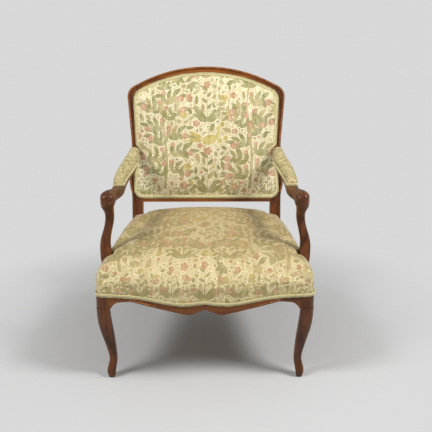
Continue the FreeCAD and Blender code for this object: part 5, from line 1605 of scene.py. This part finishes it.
def tube(centres, radius, sides):
    """Points and faces of a thin open rod about a line of centres."""
    centres = np.array(centres)
    ahead = np.gradient(centres, axis=0)
    ahead /= np.linalg.norm(ahead, axis=1, keepdims=True)
    aside = np.cross(ahead, (0.0, 0.0, 1.0))
    aside /= np.maximum(np.linalg.norm(aside, axis=1, keepdims=True), 1e-6)
    over = np.cross(aside, ahead)
    points = []
    for turn in np.linspace(0, 2 * math.pi, sides, endpoint=False):
        points.append(centres + aside * radius * math.cos(turn) + over * radius * math.sin(turn))
    return np.stack(points, axis=1).reshape(-1, 3), walls(len(centres), sides)


def moulding(name, centres, radius):
    """A carved bead along a line."""
    points, faces = tube(centres, radius, 8)
    # The bead's lighter walnut is a painted highlight.
    dress(piece(name, points, faces, walnut_bead_highlight), "show_wood")


def lower_edge(node, half, count):
    """Points along a rail's lower front edge, found from the front and then from below."""
    tree = BVHTree.FromObject(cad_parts[node], bpy.context.evaluated_depsgraph_get())
    points = []
    for x in np.linspace(-half, half, count):
        face = tree.ray_cast(Vector((x, -1, RAIL_FACE_Z)), Vector((0, 1, 0)))[0]
        under = tree.ray_cast(Vector((x, face.y + JUST_BEHIND, 0.1)), Vector((0, 0, 1)))[0]
        points.append((x, face.y, under.z + RAIL_BEAD_ABOVE))
    return np.array(points)


frame_ring = shrunk(rounded(FRAME_CORNERS, 0.006), BEAD_INSET)
shown = frame_ring[:, 1] > BEAD_STARTS
start = int(np.argmax(shown & ~np.roll(shown, 1)))
arch = np.roll(frame_ring, -start, axis=0)[: int(shown.sum())]
moulding("back_bead", on_back(*arch.T, 0.0002), BACK_BEAD_RADIUS)
moulding("rail_bead", lower_edge("front_seat_rail", RAIL_BEAD_HALF, 150), RAIL_BEAD_RADIUS)


# %% [markdown]
# ## The braid
#
# A narrow braid, gimp to an upholsterer, is glued over the tacks round the seat, the back and the arm pads.
# It is a plait of three cords with small loops along one edge. A plait repeats, so one turn of it is made
# once and Geometry Nodes set it along a path, turned to the path and to the surface under it. Each path
# is a line of points that carries the direction out of the cloth.

# %% One turn of the braid
BRAID_TURN = 0.009
CORD_SWING = 0.0036
CORD_RISE = 0.0006
CORD_HEIGHT = 0.0014
CORD_RADIUS = 0.00125
LOOP_FOOT = -0.0048
LOOP_LENGTH = 0.0022
LOOP_HALF = 0.0019
LOOP_HEIGHT = 0.0012
LOOP_RADIUS = 0.0009


def braid_turn():
    """Three plaited cords and two edge loops, along X, with Y across and Z out."""
    parts = []
    for cord in range(3):
        share = np.linspace(0, 1, 8)
        phase = 2 * math.pi * (share + cord / 3)
        swing, rise = CORD_SWING * np.sin(phase), CORD_HEIGHT + CORD_RISE * np.sin(2 * phase)
        parts.append(tube(np.column_stack(((share - 0.5) * BRAID_TURN, swing, rise)), CORD_RADIUS, 4))
    for start in (-0.25, 0.25):
        bend = np.linspace(0, math.pi, 5)
        along = start * BRAID_TURN + LOOP_HALF * np.cos(bend)
        aside = LOOP_FOOT - LOOP_LENGTH * np.sin(bend)
        parts.append(tube(np.column_stack((along, aside, np.full(5, LOOP_HEIGHT))), LOOP_RADIUS, 4))
    return gathered(parts)


def braid_cloth():
    """Pale silk cord, a little faded and dusty."""
    recipe = Recipe("gimp_braid", 0.6, Sheen_Weight=0.2, Specular_IOR_Level=0.35)
    twist = recipe.waves(recipe.place, 420, "DIAGONAL", 0.5, 1)
    spots = recipe.noise(recipe.place, 130, 4, 0.6)
    base = recipe.mix(recipe.ramp(twist, 0.2, 0.8), srgb(206, 194, 136), srgb(240, 232, 182))
    base = recipe.mix(recipe.ramp(spots, 0.5, 0.72, 0, 0.4), base, srgb(178, 164, 106))
    recipe.colour(base)
    recipe.bump(twist, 0.0003, 0.6)
    return recipe.material


braid_finish = braid_cloth()
turn_piece = piece("braid_turn", *braid_turn(), braid_finish)
print(f"one turn of braid has {len(turn_piece.data.polygons)} faces")


# %% [markdown]
# ## A tree that lays braid
#
# The path becomes a curve with one point for each turn of the braid. A turn of braid is set on each point,
# aligned with the path first and then with the direction out of the cloth, and made a little wider or
# narrower at random, as handwork is.

# %% The tree that lays a braid along a path
def new_tree(name, sockets):
    """A Geometry Nodes tree with named inputs; returns it and its inputs' identifiers."""
    tree = bpy.data.node_groups.new(name, "GeometryNodeTree")
    tree.interface.new_socket("Geometry", in_out="INPUT", socket_type="NodeSocketGeometry")
    tree.interface.new_socket("Geometry", in_out="OUTPUT", socket_type="NodeSocketGeometry")
    names = {}
    for label, kind in sockets:
        names[label] = tree.interface.new_socket(label, in_out="INPUT", socket_type=kind).identifier
    return tree, names


def braid_tree():
    """Path to curve, even spacing, one turn of braid at each point, then plain geometry."""
    tree, names = new_tree("lay_braid", [
        ("Spacing", "NodeSocketFloat"),
        ("Turn of braid", "NodeSocketObject"),
        ("Unevenness", "NodeSocketFloat"),
        ("Seed", "NodeSocketInt"),
        ("Finish", "NodeSocketMaterial"),
    ])

    def add(kind, **settings):
        node = tree.nodes.new(kind)
        for setting, value in settings.items():
            setattr(node, setting, value)
        return node

    given = add("NodeGroupInput")
    result = add("NodeGroupOutput")
    curve = add("GeometryNodeMeshToCurve")
    spaced = add("GeometryNodeResampleCurve", mode="LENGTH")
    tangent = add("GeometryNodeInputTangent")
    outward = add("GeometryNodeInputNamedAttribute", data_type="FLOAT_VECTOR")
    outward.inputs["Name"].default_value = "outward"
    along = add("FunctionNodeAlignRotationToVector", axis="X")
    upright = add("FunctionNodeAlignRotationToVector", axis="Z", pivot_axis="X")
    unit = add("GeometryNodeObjectInfo")
    unit.inputs["As Instance"].default_value = True
    smaller = add("ShaderNodeMath", operation="SUBTRACT")
    larger = add("ShaderNodeMath", operation="ADD")
    smaller.inputs[0].default_value = larger.inputs[0].default_value = 1
    width = add("FunctionNodeRandomValue", data_type="FLOAT")
    wanted = {("Min", "VALUE"): smaller.outputs[0], ("Max", "VALUE"): larger.outputs[0]}
    wanted[("Seed", "INT")] = given.outputs["Seed"]
    for socket in width.inputs:
        if (socket.name, socket.type) in wanted:
            tree.links.new(wanted[(socket.name, socket.type)], socket)
    varied = [socket for socket in width.outputs if socket.type == "VALUE" and socket.enabled][0]
    scale = add("ShaderNodeCombineXYZ")
    scale.inputs["X"].default_value = scale.inputs["Z"].default_value = 1
    laid = add("GeometryNodeInstanceOnPoints")
    real = add("GeometryNodeRealizeInstances")
    finish = add("GeometryNodeSetMaterial")
    join(tree, [
        (given.outputs["Geometry"], curve.inputs["Mesh"]),
        (curve.outputs["Curve"], spaced.inputs["Curve"]),
        (given.outputs["Spacing"], spaced.inputs["Length"]),
        (tangent.outputs["Tangent"], along.inputs["Vector"]),
        (along.outputs["Rotation"], upright.inputs["Rotation"]),
        (outward.outputs["Attribute"], upright.inputs["Vector"]),
        (given.outputs["Turn of braid"], unit.inputs["Object"]),
        (given.outputs["Unevenness"], smaller.inputs[1]),
        (given.outputs["Unevenness"], larger.inputs[1]),
        (varied, scale.inputs["Y"]),
        (spaced.outputs["Curve"], laid.inputs["Points"]),
        (unit.outputs["Geometry"], laid.inputs["Instance"]),
        (upright.outputs["Rotation"], laid.inputs["Rotation"]),
        (scale.outputs["Vector"], laid.inputs["Scale"]),
        (laid.outputs["Instances"], real.inputs["Geometry"]),
        (real.outputs["Geometry"], finish.inputs["Geometry"]),
        (given.outputs["Finish"], finish.inputs["Material"]),
        (finish.outputs["Geometry"], result.inputs["Geometry"]),
    ])
    return tree, names


braid_nodes, braid_inputs = braid_tree()
print(f"the braid's tree has {len(braid_nodes.nodes)} nodes")


# %% Lay a braid
def lay_braid(name, path, outward, closed, node, seed):
    """A braid along a path; outward gives the direction out of the cloth, for all or for each point."""
    mesh = bpy.data.meshes.new(name)
    count = len(path)
    edges = [(index, index + 1) for index in range(count - 1)]
    if closed:
        edges.append((count - 1, 0))
    mesh.from_pydata([tuple(point) for point in path], edges, [])
    direction = mesh.attributes.new("outward", "FLOAT_VECTOR", "POINT")
    outwards = np.broadcast_to(np.asarray(outward, dtype=np.float32), (count, 3))
    direction.data.foreach_set("vector", outwards.ravel())
    made = add_object(name, mesh)
    modifier = made.modifiers.new("lay_braid", "NODES")
    modifier.node_group = braid_nodes
    values = {
        "Spacing": BRAID_TURN, "Turn of braid": turn_piece, "Unevenness": 0.08, "Seed": seed,
        "Finish": braid_finish,
    }
    for label, value in values.items():
        modifier[braid_inputs[label]] = value
    apply_modifiers(made)
    made.data.shade_smooth()
    dress(made, "braid", *node)


# %% [markdown]
# ## Where the braid goes
#
# On the seat it follows the lower edge of the cloth from one back post round the front to the other, and
# closes the gap between the posts behind. On the back it lies just inside the ledge, before and behind. On
# the arm pads it hides the tacks at the pad's foot, on a line that is measured on the finished pad.

# %% Braid round the seat
BRAID_ABOVE_EDGE = 0.002
BRAID_OFF_CLOTH = 0.0003
BRAID_STEP = 0.006
SEAT_END_Y = FRONT_Y + 0.5733

seat_plan = rounded(SEAT_CORNERS, BRAID_STEP)
seat_out = outline_normals(seat_plan)
at_posts = (np.abs(seat_plan[:, 0]) > 0.242) & (seat_plan[:, 1] > FRONT_Y + 0.531)
in_front = ~at_posts & (seat_plan[:, 1] <= FRONT_Y + 0.55)
first = int(np.nonzero(in_front & ~np.roll(in_front, 1))[0][-1])
run = [index for index in np.roll(np.arange(len(seat_plan)), -first) if in_front[index]]
level_plan = np.column_stack((seat_plan, np.zeros(len(seat_plan))))[run]
level_out = np.column_stack((seat_out, np.zeros(len(seat_plan))))[run]
seat_line = level_plan + level_out * BRAID_OFF_CLOTH
seat_line[:, 2] = cover_edge(level_plan) + BRAID_ABOVE_EDGE
lay_braid("seat_braid", seat_line, level_out, False, ["seat_gimp"], 3)
rear_x = np.arange(0.240, -0.2401, -0.008)
rear_line = np.stack(np.broadcast_arrays(rear_x, SEAT_END_Y, COVER_LINE + BRAID_ABOVE_EDGE), axis=1)
lay_braid("seat_braid_rear", rear_line, (0.0, 1.0, 0.0), False, [], 4)

# %% Braid round the back, before and behind
BRAID_INSET = 0.0063
BRAID_BEFORE = 0.0024
BRAID_BEHIND = LEDGE_REAR - 0.0022

braid_ring = evenly(shrunk(rounded(PAD_CORNERS, BRAID_STEP), BRAID_INSET), BRAID_STEP)
before = on_back(*braid_ring.T, BRAID_BEFORE)
lay_braid("back_braid", before, OUT_OF_BACK, True, ["back_gimp"], 5)
behind = on_back(*braid_ring[::-1].T, BRAID_BEHIND)
lay_braid("outer_back_braid", behind, -OUT_OF_BACK, True, ["outer_back_gimp"], 6)

# %% Braid round the arm pads
PAD_ROWS = 70
PAD_END = 0.0015
ROW_REACH = 0.003
FOOT_REACH = 0.006
PAD_BRAID_STEP = 0.004
PAD_BRAID_OFF = 0.0004
PAD_BRAID_ABOVE = np.array((0, 0, 0.0010))
ARM_TOP = np.array([
    # y behind the chair's front, height of the arm's top
    (205, 607),
    (240, 603.5),
    (286, 601),
    (333, 609.5),
    (390, 621.5),
    (448, 634.5),
    (505, 647.5),
    (550, 657.5),
    (614, 671),
]) * MM


def arm_pad_edge(made):
    """The line round the foot of an arm pad, measured on the pad, and the direction out of it."""
    points = read_points(made)
    rows = np.linspace(points[:, 1].min() + PAD_END, points[:, 1].max() - PAD_END, PAD_ROWS)
    right = []
    left = []
    for row in rows:
        top = np.interp(row - FRONT_Y, ARM_TOP[:, 0], ARM_TOP[:, 1])
        in_row = np.abs(points[:, 1] - row) < ROW_REACH
        near = points[in_row & (np.abs(points[:, 2] - top) < FOOT_REACH)]
        if len(near):
            right.append((near[:, 0].max(), row, top))
            left.append((near[:, 0].min(), row, top))
    ring = evenly(np.array(right + left[::-1]), PAD_BRAID_STEP)
    for _ in range(3):
        ring = (np.roll(ring, 1, axis=0) + ring * 2 + np.roll(ring, -1, axis=0)) / 4
    out = np.column_stack((outline_normals(ring[:, :2]), np.zeros(len(ring))))
    return ring + out * PAD_BRAID_OFF + PAD_BRAID_ABOVE, out


for side_name in SIDES:
    ring, out = arm_pad_edge(arm_pads[side_name])
    lay_braid("arm_pad_braid_" + side_name, ring, out, True, ["arm_pad_gimp_" + side_name], 7)
bpy.data.objects.remove(turn_piece)
